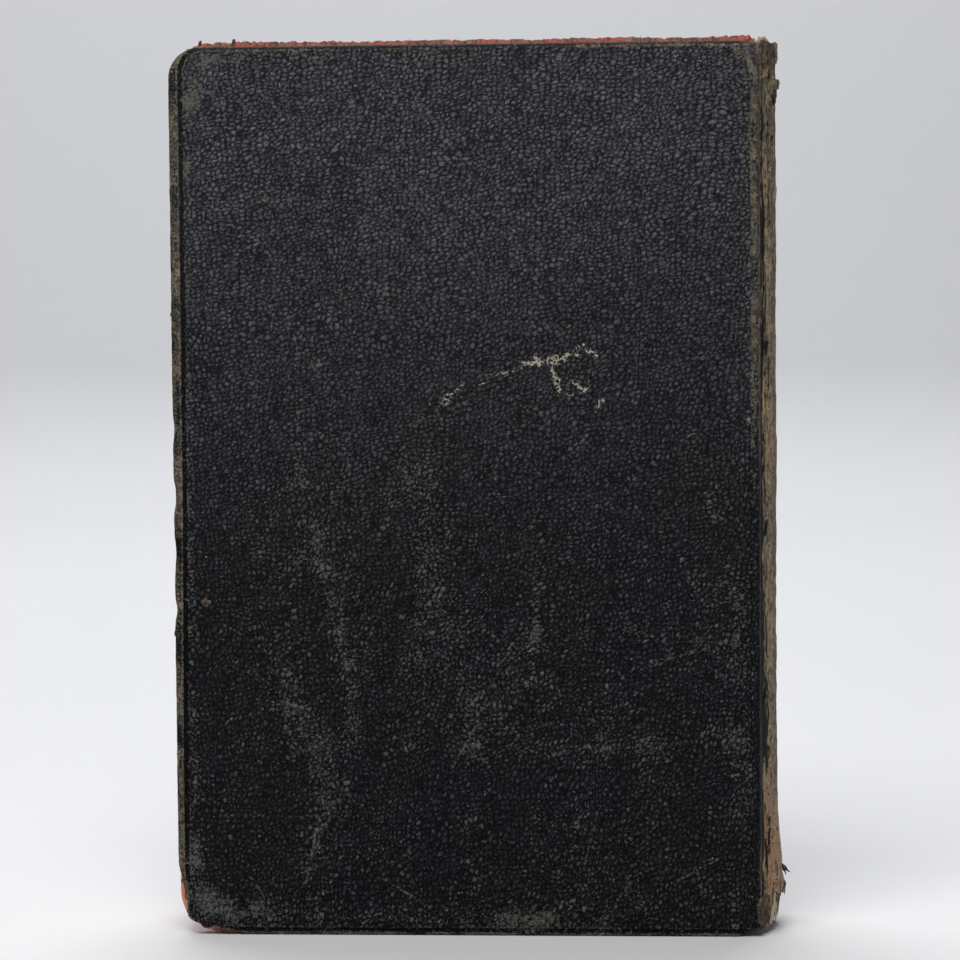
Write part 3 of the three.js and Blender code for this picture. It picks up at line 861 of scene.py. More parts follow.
def cover_leather(side, name, wear, spacing, material):
    """A cover's leather: its grained face, the roll over the board's edge and the margin turned in."""
    x, z = cover_grid(wear, spacing)
    lift, surface, marks = cover_look(x, z, wear)
    face = np.stack([x, side * (COVER_Y + lift), z], -1)
    border = grid_border(*x.shape)
    loop = np.stack([x.ravel()[border], z.ravel()[border]], 1)
    border_lift = lift.ravel()[border]
    points, surfaces, all_marks = [face.reshape(-1, 3)], [surface.reshape(-1, 3)], [marks.reshape(-1, 3)]
    loss = edge_loss(loop[:, 0], loop[:, 1], wear)
    edge = edge_profile()
    rings = [border]
    for step, (out, depth, kept_lift) in enumerate(edge + margin_profile()):
        on_edge = step < len(edge)
        ring = moved_out(loop, out - loss * (out / EDGE_ROLL) if on_edge else np.full(len(loop), out))
        _, ring_surface, ring_marks = cover_look(ring[:, 0], ring[:, 1], wear)
        if on_edge:
            away_from_head = 1 - smooth(ring[:, 1], HEIGHT - 2, HEIGHT - 1)
            edge_bare = (0.34 + 0.2 * (1 - kept_lift)) * (0.5 + 0.5 * away_from_head)
            ring_marks[:, 0] = np.maximum(ring_marks[:, 0], edge_bare)
        y = side * (COVER_Y + kept_lift * border_lift - depth)
        rings.append(sum(len(p) for p in points) + np.arange(len(loop)))
        points.append(np.stack([ring[:, 0], y, ring[:, 1]], -1))
        surfaces.append(ring_surface)
        all_marks.append(ring_marks)
    faces = list(grid_faces(*x.shape))
    for inner, outer in zip(rings[:-1], rings[1:]):
        faces += list(band_faces(inner, outer))
    faces.append(rings[-1])
    points = np.concatenate(points)
    points[:, 0], points[:, 2] = drawn_in(points[:, 0], points[:, 2], wear)
    values = {"surface": np.concatenate(surfaces), "marks": np.concatenate(all_marks)}
    return make_object(name, points, faces, material, **values)


# ---------------------------------------------------------------- sheets that follow a path
def swept_grids(path, z_low, z_high, thickness, rows):
    """The two faces of a sheet along a path in X and Y: the first is on the right of the path."""
    path = np.asarray(path, float)
    run = np.gradient(path, axis=0)
    run /= np.linalg.norm(run, axis=1, keepdims=True)
    right = np.stack([run[:, 1], -run[:, 0]], 1) * thickness / 2
    share = np.linspace(0, 1, rows)[:, None]
    z = np.broadcast_to(z_low, len(path)) * (1 - share) + np.broadcast_to(z_high, len(path)) * share
    faces = []
    for sideways in (right, -right):
        flat = np.broadcast_to(path + sideways, (rows, len(path), 2))
        faces.append(np.concatenate([flat, z[..., None]], -1))
    return faces


def arc_path(radius, y_end, count):
    """Places round the spine at a radius, from the back to the front."""
    turn = np.linspace(-1, 1, count) * math.asin(y_end / radius)
    return np.stack([SPINE_CENTRE_X + radius * np.cos(turn), radius * np.sin(turn)], 1)


SPINE_BEND = 1.5  # reach on either side of the spine's middle that blend_over_spine hands on


def blend_over_spine(thing, slot, *nodes, reach=SPINE_BEND):
    """Hands a piece that crosses the middle of the spine on to blend_as, with a reach on either side of its
    middle.
    """
    start, end = (SPINE_X, -reach, HEIGHT / 2), (SPINE_X, reach, HEIGHT / 2)
    blend_as(thing, "back_half", "front_half", start, end, slot, *nodes)


def both_halves(stem):
    """The names of a spine layer's two CAD nodes."""
    return f"{stem}_back", f"{stem}_front"


def tail_tear(y):
    """How far the spine's leather has gone at its tail: 1 on the back half's outer part, 0 elsewhere."""
    return smooth(y, -7.0, -6.2) * (1 - smooth(y, 0.6, 2.4))


def spine_layer(name, stem, thickness, rows, material, slot, frayed=0.0, torn=0.0):
    """One continuous layer of the spine in place of its two halves."""
    low, high = box_mm(f"{stem}_front")
    path = arc_path(high[0] - SPINE_CENTRE_X - thickness / 2, high[1] - 0.1, 60)
    y = path[:, 1]
    fray = frayed * noise(y, 0, 1.0, 5)
    tear = torn * tail_tear(y) * (1 - smooth(y, -1.8, -0.8)) * (1 + 0.35 * noise(y, 2, 0.9, 6))
    bottom = low[2] + frayed + fray + tear
    front, back = swept_grids(path, bottom, high[2] - frayed + fray, thickness, rows)
    thing = sheet_object(name, front, back, material)
    blend_over_spine(thing, slot, *both_halves(stem))


# ---------------------------------------------------------------- the spine's leather
SPINE_CRACKS = [  # place round the spine, depth, width, seed
    (-9.3, 0.3, 0.16, 82),
    (-8.5, 0.32, 0.16, 81),
    (-7.4, 0.22, 0.12, 87),
    (-6.0, 0.26, 0.14, 93),
    (-2.4, 0.14, 0.12, 83),
    (0.6, 0.18, 0.14, 84),
    (3.8, 0.12, 0.12, 85),
    (8.1, 0.28, 0.2, 86),
]
SPINE_BLOTS = [  # place round the spine, height, half sizes, black, tan
    (-7.8, 35, 0.9, 5.5, 0.7, -0.4),
    (-6.9, 14.5, 0.35, 3.6, 1.0, -0.6),
    (-7.8, 12.5, 0.4, 3.2, 0.8, -0.4),
    (-7.9, 27, 0.5, 2.2, 0.7, -0.5),
    (-7.2, 20.5, 1.5, 4.2, -0.9, 1.0),
    (-3.6, 12, 3.4, 9.0, -0.7, 1.0),
    (-8.8, 8.5, 0.7, 5.5, -0.2, 0.3),
    (-8.3, 23.5, 0.35, 4.6, -1.2, 0.9),
    (-8.1, 15.5, 0.3, 2.4, -1.1, 0.7),
    (-8.5, 10.4, 0.4, 1.8, -1.1, 0.8),
    (-5.6, 78, 1.2, 9.0, -0.3, 0.7),
    (-5.8, 100, 1.0, 8.0, -0.2, 0.6),
    (-5.2, 52, 1.0, 12.0, -0.2, 0.6),
    (-7.6, 118, 0.7, 4.0, -0.4, 0.9),
    (-6.8, 108, 0.6, 5.0, -0.4, 0.9),
    (-8.9, 136, 0.9, 2.4, -0.8, 1.0),
    (-6.5, 124, 0.4, 5.0, 0.5, -0.3),
    (-8.2, 111, 0.5, 7.0, 0.35, -0.2),
    (-6.2, 117, 0.3, 3.5, 0.6, -0.3),
    (-7.7, 97, 0.4, 6.0, 0.3, 0.5),
    (-6.6, 88, 0.35, 4.0, 0.5, -0.2),
    (-8.3, 84, 0.4, 5.0, -0.5, 0.8),
    (-7.9, 71, 0.45, 5.0, 0.4, 0.2),
    (-8.4, 58, 0.3, 4.0, -0.4, 0.6),
    (-7.4, 46, 0.35, 4.0, 0.45, 0.1),
]


SPINE_LEATHER = 0.5  # its thickness
SPINE_INSIDE = (0.0, 0.0, 0.6)  # what its inner face keeps


def spine_shape(y):
    """The outward direction of the spine at each place across it, and the distance round from its middle."""
    turn = np.arcsin(np.clip(y / SPINE_RADIUS, -1, 1))
    return np.cos(turn), np.sin(turn), turn * SPINE_RADIUS


def tail_bulge(along, z):
    """How far the torn end of the spine's leather stands off the spine."""
    return bell(along + 2.2, 4.4) * (0.85 * bell(z - 8, 9) + 0.5 * smooth(9.5 - z, 0, 3))


def spine_cracks(along, z):
    """How deep the cracks are that wander along the spine."""
    crack = np.zeros_like(z)
    for centre, depth, width, seed in SPINE_CRACKS:
        wander = centre + 0.5 * noise(z, 0, 14, seed) + 0.16 * noise(z, 0, 1.8, seed + 1)
        open_here = smooth(noise(z, 3, 20, seed + 2), -0.5, 0.1)
        crack += depth * open_here * bell(along - wander, width)
    return crack


def spine_colours(along, z, crack, pits):
    """How black and how tan: black is left by the joints and in cracks, tan shows in a band and in tears."""
    black = 0.2 + 0.34 * bell(along + 8.8, 0.9) + 0.45 * bell(along - 8.6, 0.9)
    black += 0.9 * bell(along + 9.4, 0.6) * (1 - smooth(z, 55, 95))
    black += 1.7 * crack + 0.35 * pits + 0.3 * noise(along, z, 10, 91)
    tan = 0.6 * bell(along + 6.8, 0.9) + 0.4 * noise(along * 1.6, z, 9, 92, 4)
    tan += 0.2 * (1 - smooth(z, 40, 90))
    uneven = 0.5 * noise(along, z, 1.6, 95)
    for centre, height, half_across, half_up, more_black, more_tan in SPINE_BLOTS:
        across = along + half_across * uneven
        near = 1 - smooth(((across - centre) / half_across) ** 2 + ((z - height) / half_up) ** 2, 0.5, 1.4)
        black += more_black * near
        tan += more_tan * near
    return black, np.clip(tan, 0, 1)


def spine_leather(material):
    """The leather round the spine: cracked along its length, with both ends torn."""
    path = arc_path(SPINE_RADIUS - SPINE_LEATHER / 2 - 0.02, 9.35, 96)
    y = path[:, 1]
    ragged = noise(y, 0, 0.9, 71, 4)
    low = 1.0 + 0.4 * ragged + tail_tear(y) * (5.6 + 1.3 * ragged)
    torn_head = smooth(y, -9.0, -8.4) * (1 - smooth(y, -4.6, -3.6))
    high = HEIGHT - 0.5 - 1.6 * torn_head + (0.35 + 0.6 * torn_head) * noise(y, 9, 1.0, 72)
    front, back = swept_grids(path, low, high, SPINE_LEATHER, 460)
    z = front[..., 2]
    out_x, out_y, along = spine_shape(front[..., 1])
    crack = spine_cracks(along, z)
    pits = smooth(noise(along, z * 0.7, 0.7, 94, 2), 0.25, 0.5)
    flakes = noise(along, z * 0.6, 1.1, 88, 4)
    lift = 0.16 * flakes + 0.14 * noise(along, z, 9, 89) - 0.8 * crack - 0.08 * pits
    bulge = tail_bulge(along, z)
    out = np.stack([out_x, out_y, out_x * 0], -1)
    front, back = front + (lift + bulge)[..., None] * out, back + bulge[..., None] * out
    black, tan = spine_colours(along, z, crack, pits)
    look = np.stack([lift, black, tan], -1).reshape(-1, 3)
    inner = np.tile(SPINE_INSIDE, (len(look), 1))
    thing = sheet_object("spine_leather", front, back, material, surface=np.concatenate([look, inner]))
    blend_over_spine(thing, "spine_leather", *both_halves("spine_leather"))


# Over a joint, from a cover onto the spine: X from the joint's axis, and how deep in from the outer face.
SHOULDER_X = [-0.85, -0.6, -0.4, -0.25, -0.15, -0.07, 0, 0.07, 0.15, 0.26, 0.38, 0.48, 0.55, 0.58, 0.58, 0.54]
SHOULDER_Y = [0.16, 0.15, 0.15, 0.15, 0.16, 0.17, 0.19, 0.22, 0.27, 0.38, 0.57, 0.82, 1.12, 1.45, 1.8, 2.15]
SHOULDER = np.column_stack([SHOULDER_X, SHOULDER_Y])
JOINT_LEATHER = 0.26  # its thickness


def joint_marks(place, z, crack, wear):
    """How bare and how olive: the finish has gone towards the head, and by the tail on the spine's side."""
    seed = wear.seed
    at_head, at_tail = smooth(z, 48, 98), smooth(24 - z, 0, 8)
    spine_side = smooth(place, 0.1, 1.1)
    mottle = noise(place * 1.6, z * 0.7, 1.5, seed + 66, 4)
    streaks = noise(place * 4, z, 6, seed + 67)
    patches = noise(place * 0.5, z, 3.2, seed + 69)
    bare = 0.1 + 0.36 * at_head + 0.1 * at_tail + 0.42 * spine_side * np.maximum(at_head, at_tail)
    bare += 0.5 * mottle + 0.3 * streaks - 0.9 * crack + 0.5 * patches * at_tail
    bare += 0.12 * spine_side * (at_head + at_tail) - 0.3 * spine_side * (1 - at_head) * (1 - at_tail)
    olive = 0.25 + 0.5 * at_head * smooth(noise(place, z, 4, seed + 70), -0.3, 0.2)
    olive = olive - 0.3 * bell(place - 0.05, 0.16) * at_head
    return bare, olive, 0.1 + 0.36 * at_head + 0.2 * streaks


def joint_leather(side, prefix, wear, material):
    """The leather over a joint, from its cover round onto the spine."""
    path = np.stack([JOINT_X + SHOULDER[:, 0], side * (COVER_Y - SHOULDER[:, 1])], 1)[::-side]
    across = np.abs(path[:, 1])
    seed = wear.seed
    ragged = noise(across * 3, 0, 1.0, seed + 62, 2)
    top = HEIGHT - 0.7 - wear.head_loss * 0.5 + 0.25 * ragged
    low = 1.1 + 0.3 * ragged + 0.5 * (across > COVER_Y - 0.4)
    front, back = swept_grids(path, low, top, JOINT_LEATHER, 620)
    z = front[..., 2]
    place = front[..., 0] - JOINT_X + (COVER_Y - np.abs(front[..., 1]))
    grain, peak = pebbles(JOINT_X + place, z, seed)
    relief = 0.08 * (grain - 0.5) + 0.08 * noise(place * 1.4, z * 0.5, 0.8, seed + 63, 4)
    wander = 0.45 + 0.3 * noise(z, 0, 7, seed + 64)
    crack = bell(place - wander, 0.16) * smooth(noise(z, 0, 9, seed + 65), -0.1, 0.4)
    fixed = (front[..., 0] > JOINT_X + 0.2) * (relief - 0.16 * crack)
    front[..., 1] += side * 0.4 * relief
    front[..., 0] += fixed * smooth(np.abs(place), 0.6, 1.2)
    bare, olive, rubbed = joint_marks(place, z, crack, wear)
    surface = both_faces(grain * (1 - crack), peak, rubbed)
    marks = both_faces(bare, olive, 0)
    thing = sheet_object(f"{prefix}_joint_leather", front, back, material, surface=surface, marks=marks)
    bodies = f"{prefix}_cover", f"{prefix}_half"
    blend_at_hinge(thing, side, bodies, (JOINT_X - 0.16, 10.8), (JOINT_X + 0.16, 10.8), "black_leather")


# ---------------------------------------------------------------- boards, endpapers and leaves
def rounded_outline(left, right, bottom, top, radius, spacing):
    """Places round an upright rectangle whose two fore-edge corners are rounded, anticlockwise."""
    inner, low, high = left + radius, bottom + radius, top - radius
    turn = [(radius * math.sin(a), radius * math.cos(a)) for a in np.linspace(0, math.pi / 2, 9)]
    tail = [(x, bottom) for x in np.arange(inner, right, spacing)[1:]]
    spine = [(right, z) for z in np.arange(bottom, top, spacing)]
    head = [(x, top) for x in np.arange(right, inner, -spacing)]
    head_corner = [(inner - sine, high + cosine) for sine, cosine in turn]
    fore = [(left, z) for z in np.arange(high, low, -spacing)[1:]]
    tail_corner = [(inner - cosine, low - sine) for sine, cosine in turn]
    return np.array(tail + spine + head + head_corner + fore + tail_corner)


def stacked_plate(name, loop, levels, material):
    """A plate built of outlines one above another: each level is (y, how far its outline is inset)."""
    points, marks, faces = [], [], []
    count = len(loop)
    last = len(levels) + 1
    face_inset = np.full(count, 0.8)
    levels = [(levels[0][0], face_inset), *levels, (levels[-1][0], face_inset)]
    for number, (y, inset) in enumerate(levels):
        ring = loop - outward(loop) * inset[:, None]
        points.append(np.stack([ring[:, 0], np.full(count, y), ring[:, 1]], 1))
        marks.append(np.tile([0.0 < number < last, 0, 0], (count, 1)))
    for first in np.arange(last) * count:
        faces += list(band_faces(np.arange(count) + first, np.arange(count) + first + count))
    faces += [np.arange(count)[::-1], np.arange(count) + last * count]
    return make_object(name, np.concatenate(points), faces, material, marks=np.concatenate(marks))


def board(prefix, wear, material):
    """The board inside a cover, with slightly crushed edges."""
    low, high = box_mm(f"{prefix}_cover_board")
    top = high[2] - wear.head_loss
    loop = rounded_outline(low[0], high[0], low[2], top, wear.corners[0] - 0.72, 2.5)
    loop = np.stack(drawn_in(loop[:, 0], loop[:, 1], wear), 1)
    crushed = 0.08 + 0.06 * noise(loop[:, 0], loop[:, 1], 5, wear.seed + 50)
    ys = np.linspace(low[1], high[1], 5)
    levels = [(y, crushed * share) for y, share in zip(ys, (2.2, 1.0, 0.6, 1.0, 2.2))]
    thing = stacked_plate(f"{prefix}_board", loop, levels, material)
    ride_as(thing, f"{prefix}_cover", "board", f"{prefix}_cover_board")


LEAVES_PER_GATHERING = 8
LEAF_CORNER = 4.0


def gathering(number, material):
    """One gathering of leaves: ridged where its leaves end, round where they fold."""
    name = f"gathering_{number:02d}"
    low, high = box_mm(name)
    loop = rounded_outline(low[0], high[0], low[2], high[2], LEAF_CORNER, 3.0)
    fold = smooth(loop[:, 0], high[0] - 0.02, high[0] - 0.01)
    thickness, middle = high[1] - low[1], (low[1] + high[1]) / 2
    levels = []
    for leaf in range(LEAVES_PER_GATHERING):
        jitter = 0.09 * (1 + noise(loop[:, 0] + loop[:, 1], 0, 9, 100 * number + leaf, 2))
        for share, inset in ((0.1, 0.1), (0.5, 0.0), (0.9, 0.1)):
            y = low[1] + thickness * (leaf + share) / LEAVES_PER_GATHERING
            round_fold = thickness / 2 - math.sqrt(max((thickness / 2) ** 2 - (y - middle) ** 2, 0))
            levels.append((y, inset + jitter * (1 - fold) + fold * round_fold))
    thing = stacked_plate(f"{name}_leaves", loop, levels, material)
    ride_as(thing, "front_half" if middle > 0 else "back_half", "leaf_paper", name)


def leaf_columns(fore, end):
    """Places across a leaf: close together round its fore-edge corners."""
    corner = fore + LEAF_CORNER * (1 - np.cos(np.linspace(0, math.pi / 2, 9)))
    return np.concatenate([corner, np.linspace(fore + LEAF_CORNER, end, 34)[1:]])


def leaf_grids(path, low, high, thickness):
    """The two faces of a leaf along a path, and marks that are 1 at its three cut edges and 0 further in."""
    drop = corner_drop(path[:, 0] - low[0], LEAF_CORNER)
    front, back = swept_grids(path, low[2] + drop, high[2] - drop, thickness, 50)
    beyond_fold = high[0] + 2 * LEAF_CORNER
    x, z = front[..., 0], front[..., 2]
    inside = inside_distance(x, z, low[0], beyond_fold, low[2], high[2], LEAF_CORNER)
    return front, back, both_faces(1 - smooth(inside, 0.0, 0.9), 0, 0)


def turning_leaf(prefix, material):
    """A single leaf that turns between the halves."""
    name = f"turning_leaf_{prefix}"
    low, high = box_mm(name)
    x = leaf_columns(low[0], high[0] - 0.2)
    y = (low[1] + high[1]) / 2 + 0.025 * np.sin(x / 9)
    front, back, marks = leaf_grids(np.stack([x, y], 1), low, high, 0.14)
    thing = sheet_object(f"{name}_sheet", front, back, material, marks=marks)
    ride_as(thing, name, "leaf_paper", name)


def centre_sheet(material):
    """The folded sheet in the middle of the sewing."""
    low, high = box_mm("centre_sheet_front")
    leaf_y = (low[1] + high[1]) / 2
    fold_x = high[0] - leaf_y - 0.02
    x = leaf_columns(low[0], fold_x)
    turn = np.linspace(-math.pi / 2, math.pi / 2, 21)[1:-1]
    fold = np.stack([fold_x + leaf_y * np.cos(turn), leaf_y * np.sin(turn)], 1)
    back_leaf = np.stack([x, np.full(len(x), -leaf_y)], 1)
    front_leaf = back_leaf[::-1] * (1, -1)
    path = np.concatenate([back_leaf, fold, front_leaf])
    front, back, marks = leaf_grids(path, low, high, 0.15)
    thing = sheet_object("centre_sheet", front, back, material, marks=marks)
    blend_over_spine(thing, "leaf_paper", *both_halves("centre_sheet"), reach=low[1] - 0.02)


# How an endpaper bends at its hinge: outward from the end of its flat, and in towards the book's middle.
FLYLEAF_BEND = [(-0.25, 0), (0, 0.01), (0.2, 0.05), (0.38, 0.14), (0.5, 0.3)]
PASTEDOWN_BEND = [
    (-0.1, 0.0), (0.0, 0.01), (0.1, 0.03), (0.19, 0.07), (0.27, 0.13),
    (0.34, 0.21), (0.40, 0.31), (0.45, 0.42), (0.49, 0.54), (0.52, 0.67),
]


def bent_path(flat, hinge_x, y, bend):
    """A path along the flat of an endpaper and round its hinge."""
    hinge = np.array([hinge_x, y]) + np.array(bend) * (1, -1)
    return np.concatenate([np.stack([flat, np.full(len(flat), y)], 1), hinge])


def flyleaf(side, prefix, material):
    """The free coral leaf of an endpaper, hinged on the block's shoulder."""
    low, high = box_mm(f"{prefix}_flyleaf")
    y = abs(low[1] + high[1]) / 2
    path = bent_path(leaf_columns(low[0], high[0] - 0.4), high[0], y, FLYLEAF_BEND)
    front, back, marks = leaf_grids(path * (1, side), low, high, 0.16)
    coral_face = np.zeros((len(marks) // 2, 3))
    cream_face = coral_face + (0, 1, 0)
    marks = np.concatenate([coral_face, cream_face][::-side])
    thing = sheet_object(f"{prefix}_flyleaf_sheet", front, back, material, marks=marks)
    bodies = f"{prefix}_half", f"{prefix}_flyleaf"
    start, end = (high[0] + 0.4, y), (high[0] - 0.3, y)
    blend_at_hinge(thing, side, bodies, start, end, "coral_endpaper", f"{prefix}_flyleaf")


def pastedown(side, prefix, wear, material):
    """The coral endpaper on a cover's inside. Its torn edges show past the worn leather."""
    low, high = box_mm(f"{prefix}_pastedown")
    y = COVER_INNER_Y - 0.16
    head_corner, tail_corner = wear.corners[1] + 0.9, max(wear.corners[0] - 0.8, 5.2)
    turn = np.linspace(0, math.pi / 2, 24)
    flat = low[0] + tail_corner * (1 - np.cos(turn))
    flat = np.concatenate([flat, np.linspace(low[0] + tail_corner, high[0] - 0.2, 420)[1:]])
    path = bent_path(flat, high[0], y, PASTEDOWN_BEND)
    x = path[:, 0]
    tear = noise(x, 0, 3.2, wear.seed + 60) + 0.8 * noise(x, 0, 0.5, wear.seed + 61, 2)
    on_board = 1 - smooth(x, high[0] - 0.3, high[0] + 0.1)
    z_high = HEIGHT - 0.1 + on_board * (0.34 + 0.26 * tear) * (wear.head_loss > 0.4)
    z_high = z_high - corner_drop(x - low[0], head_corner)
    z_low = 0.12 + corner_drop(x - low[0], tail_corner) + 0.12 * tear
    z_low += 0.5 * (x < low[0] + tail_corner) * np.abs(noise(x * 2, 0, 2.0, wear.seed + 68))
    z_low += corner_drop(high[0] + 0.6 - x, wear.corners[2] + 0.4)
    front, back = swept_grids(path * (1, side), z_low, z_high, 0.22, 120)
    torn = np.clip(1 - (HEIGHT - front[..., 2]) / 3, 0, 1)
    # Painted light: pale is 1 near the tail and the fore-edge, where the overhanging leather shades the
    # coral.
    pale = (1 - smooth(front[..., 2], 12, 20)) * (1 - smooth(front[..., 0], FORE_X + 14, FORE_X + 22))
    thing = sheet_object(f"{prefix}_pastedown_sheet", front, back, material, marks=both_faces(torn, 0, pale))
    bodies = f"{prefix}_cover", f"{prefix}_half"
    start, end = (high[0] - 0.1, y), (high[0] + 0.45, y - 0.5)
    blend_at_hinge(thing, side, bodies, start, end, "coral_endpaper", f"{prefix}_pastedown")


# ---------------------------------------------------------------- sewing, tapes and endbands
def endband(place, material):
    """A wound endband on the head or the tail of the leaves."""
    low, high = box_mm(f"endband_{place}_front")
    radius = (high[2] - low[2]) / 2
    arc = arc_path(high[0] - SPINE_CENTRE_X - radius, high[1] - 0.5, 141)
    z = np.full(len(arc), (low[2] + high[2]) / 2)
    wound = radius - 0.03 + 0.03 * np.cos(np.arange(len(arc)) * math.pi / 2)
    thing = tube_object(f"endband_{place}", np.column_stack([arc, z]), wound, material, 12)
    blend_over_spine(thing, "endband_silk", *both_halves(f"endband_{place}"))


def kettle_stitches(place, material):
    """The chain of thread that links the gatherings near the head or the tail."""
    low, high = box_mm(f"kettle_stitches_{place}_front")
    radius = high[0] - SPINE_CENTRE_X - 0.17
    arc = arc_path(radius, high[1] - 0.2, 121)
    step = np.arange(len(arc)) * 2 * math.pi / 9
    z = (low[2] + high[2]) / 2 + 0.28 * np.sin(step)
    path = np.column_stack([arc[:, 0] - 0.03 * (1 - np.cos(2 * step)), arc[:, 1], z])
    thing = tube_object(f"kettle_stitches_{place}", path, 0.15, material, 6)
    blend_over_spine(thing, "linen_thread", *both_halves(f"kettle_stitches_{place}"))


def centre_stitches(material):
    """The runs of sewing thread along the centre sheet's fold, between the kettles and tapes."""
    fold_x = box_mm("centre_sheet_front")[1][0] - 0.16
    tapes = [box_mm(f"tape_{place}_front") for place in ("tail", "middle", "head")]
    kettles = [box_mm(f"kettle_stitches_{place}_front")[0][2] for place in ("tail", "head")]
    stops = [kettles[0], *(z for low, high in tapes for z in (low[2], high[2])), kettles[1]]
    runs = []
    for number, (bottom, top) in enumerate(zip(stops[::2], stops[1::2])):
        z = np.linspace(bottom, top, 30)
        sag = 0.05 * np.sin(np.linspace(0, math.pi, 30))
        path = np.column_stack([fold_x - sag, 0.02 * np.sin(z), z])
        runs.append(tube_object(f"stitch_{number}", path, 0.07, material, 6))
    thing = join_objects("centre_stitches", runs)
    reach = box_mm("centre_sheet_front")[0][1] - 0.02
    blend_over_spine(thing, "linen_thread", reach=reach)


# ---------------------------------------------------------------- torn bits
CHIP_THICKNESS = 0.12


def chip(name, middle, normal, up, width, height, material, seed, **values):
    """A loose flake of leather or paper: ragged, crumpled and thin, facing along its normal."""
    middle, normal, up = (np.array(p, float) for p in (middle, normal, up))
    normal /= np.linalg.norm(normal)
    across = np.cross(up, normal)
    across /= np.linalg.norm(across)
    up = np.cross(normal, across)
    share = np.linspace(-1, 1, 11)
    s, t = np.meshgrid(share, share)
    # A square of places is drawn in towards a ragged oval.
    s, t = s * np.sqrt(1 - 0.42 * t**2), t * np.sqrt(1 - 0.42 * s**2)
    turn = np.arctan2(t, s)
    ragged = 1 + 0.3 * noise(2 * np.cos(turn), 2 * np.sin(turn), 0.8, seed, 3) * np.hypot(s, t)
    s, t = s * ragged * width / 2, t * ragged * height / 2
    crumple = 0.16 * noise(s, t, 0.8, seed + 4, 3) - 0.1 * (s / width * 2) ** 2
    sheet = middle + s[..., None] * across + t[..., None] * up + crumple[..., None] * normal
    half = normal * CHIP_THICKNESS / 2
    return sheet_object(name, sheet + half, sheet - half, material, **values)


def place_on_spine(along, z, out):
    """A place on the spine's surface, out from it by a distance, and the direction out of it."""
    turn = along / SPINE_RADIUS
    normal = np.array([math.cos(turn), math.sin(turn), 0.0])
    return np.array([SPINE_CENTRE_X, 0, z]) + normal * (SPINE_RADIUS + out), normal


GREY_FLAKE = (0.1, 0.05, 0.1)
DARK_FLAKE = (0.1, 0.62, 0.1)
TAN_FLAKE = (0.1, 0.0, 0.9)
SPINE_CHIPS = [  # along, height, how far out, width, height, tilt sideways, tilt down, look
    (-5.4, 133.0, 0.3, 1.5, 2.9, 0.35, 0.2, GREY_FLAKE),
    (-2.0, 133.2, 0.25, 1.2, 1.7, 1.1, 0.1, GREY_FLAKE),
    (-4.0, 131.2, 0.25, 0.9, 2.4, 0.8, 0.1, DARK_FLAKE),
    (-8.2, 134.6, 0.2, 0.6, 1.6, 0.2, 0.1, TAN_FLAKE),
    (-7.2, 134.9, 0.2, 0.5, 1.4, 0.4, 0.1, TAN_FLAKE),
    (-6.2, 119.6, 0.15, 0.8, 2.2, 0.3, 0.2, GREY_FLAKE),
    (-7.0, 130.6, 0.2, 1.0, 1.6, 0.3, 0.2, TAN_FLAKE),
    (-3.2, 138.0, 0.2, 1.1, 3.4, 0.9, 0.0, GREY_FLAKE),
    (-4.6, 124.4, 0.1, 0.7, 1.6, 0.1, 0.2, DARK_FLAKE),
    (-3.0, 116.0, 0.15, 0.9, 2.6, 0.3, 0.1, TAN_FLAKE),
    (-6.4, 112.0, 0.15, 0.8, 1.8, 0.3, 0.2, DARK_FLAKE),
    (-4.4, 100.6, 0.12, 0.8, 1.4, 0.3, 0.2, GREY_FLAKE),
    (-7.4, 92.0, 0.12, 0.6, 2.2, 0.3, 0.2, DARK_FLAKE),
    (-3.2, 84.0, 0.12, 0.7, 1.2, 0.2, 0.2, GREY_FLAKE),
    (-7.6, 64.0, 0.12, 0.5, 2.4, 0.2, 0.1, DARK_FLAKE),
    (-7.9, 36.0, 0.15, 0.9, 4.6, 0.2, 0.1, DARK_FLAKE),
    (-7.2, 28.6, 0.15, 0.8, 2.0, 0.2, 0.1, DARK_FLAKE),
    (-7.0, 17.2, 0.15, 0.5, 2.6, 0.3, 0.1, DARK_FLAKE),
    (-7.3, 13.2, 0.2, 0.5, 2.8, 0.3, 0.1, DARK_FLAKE),
    (-2.6, 6.3, 1.0, 0.9, 1.5, 0.8, 0.1, GREY_FLAKE),
    (-3.4, 4.2, 0.2, 0.5, 3.2, 0.8, 0.0, GREY_FLAKE),
    (-1.6, 6.3, 1.0, 0.8, 1.2, 0.9, 0.1, DARK_FLAKE),
    (-4.8, 6.6, 0.75, 1.8, 0.8, 0.5, 0.2, DARK_FLAKE),
    (-3.2, 6.9, 0.95, 1.8, 0.7, 0.5, 0.2, DARK_FLAKE),
]
SHREDS = [  # from and to: along, height and how far out; then half the thickness at the root
    ((-1.6, 9.9, 0.7), (-1.4, 8.6, 2.0), 0.34),
    ((-1.5, 9.6, 0.8), (-1.6, 8.2, 1.5), 0.26),
    ((-2.2, 7.0, 1.2), (-2.4, 5.2, 1.35), 0.2),
    ((-0.8, 7.2, 1.2), (-1.0, 5.9, 1.3), 0.16),
    ((-4.6, 6.8, 0.9), (-4.2, 5.4, 1.0), 0.2),
]
TORN_PAPER = [  # along, height, how far out, width, height, tilt sideways
    (-5.0, 4.6, 0.2, 0.6, 3.2, 0.5),
    (-5.8, 2.9, 0.15, 0.9, 2.8, 0.5),
    (-4.2, 3.0, 0.2, 0.5, 2.8, 0.2),
    (-6.5, 2.0, 0.1, 0.7, 1.6, 0.4),
    (-8.6, 139.6, -0.3, 0.9, 1.1, 0.4),
    (-7.3, 139.8, -0.3, 1.1, 1.0, 0.3),
    (-5.9, 139.4, -0.4, 0.9, 1.3, 0.2),
]


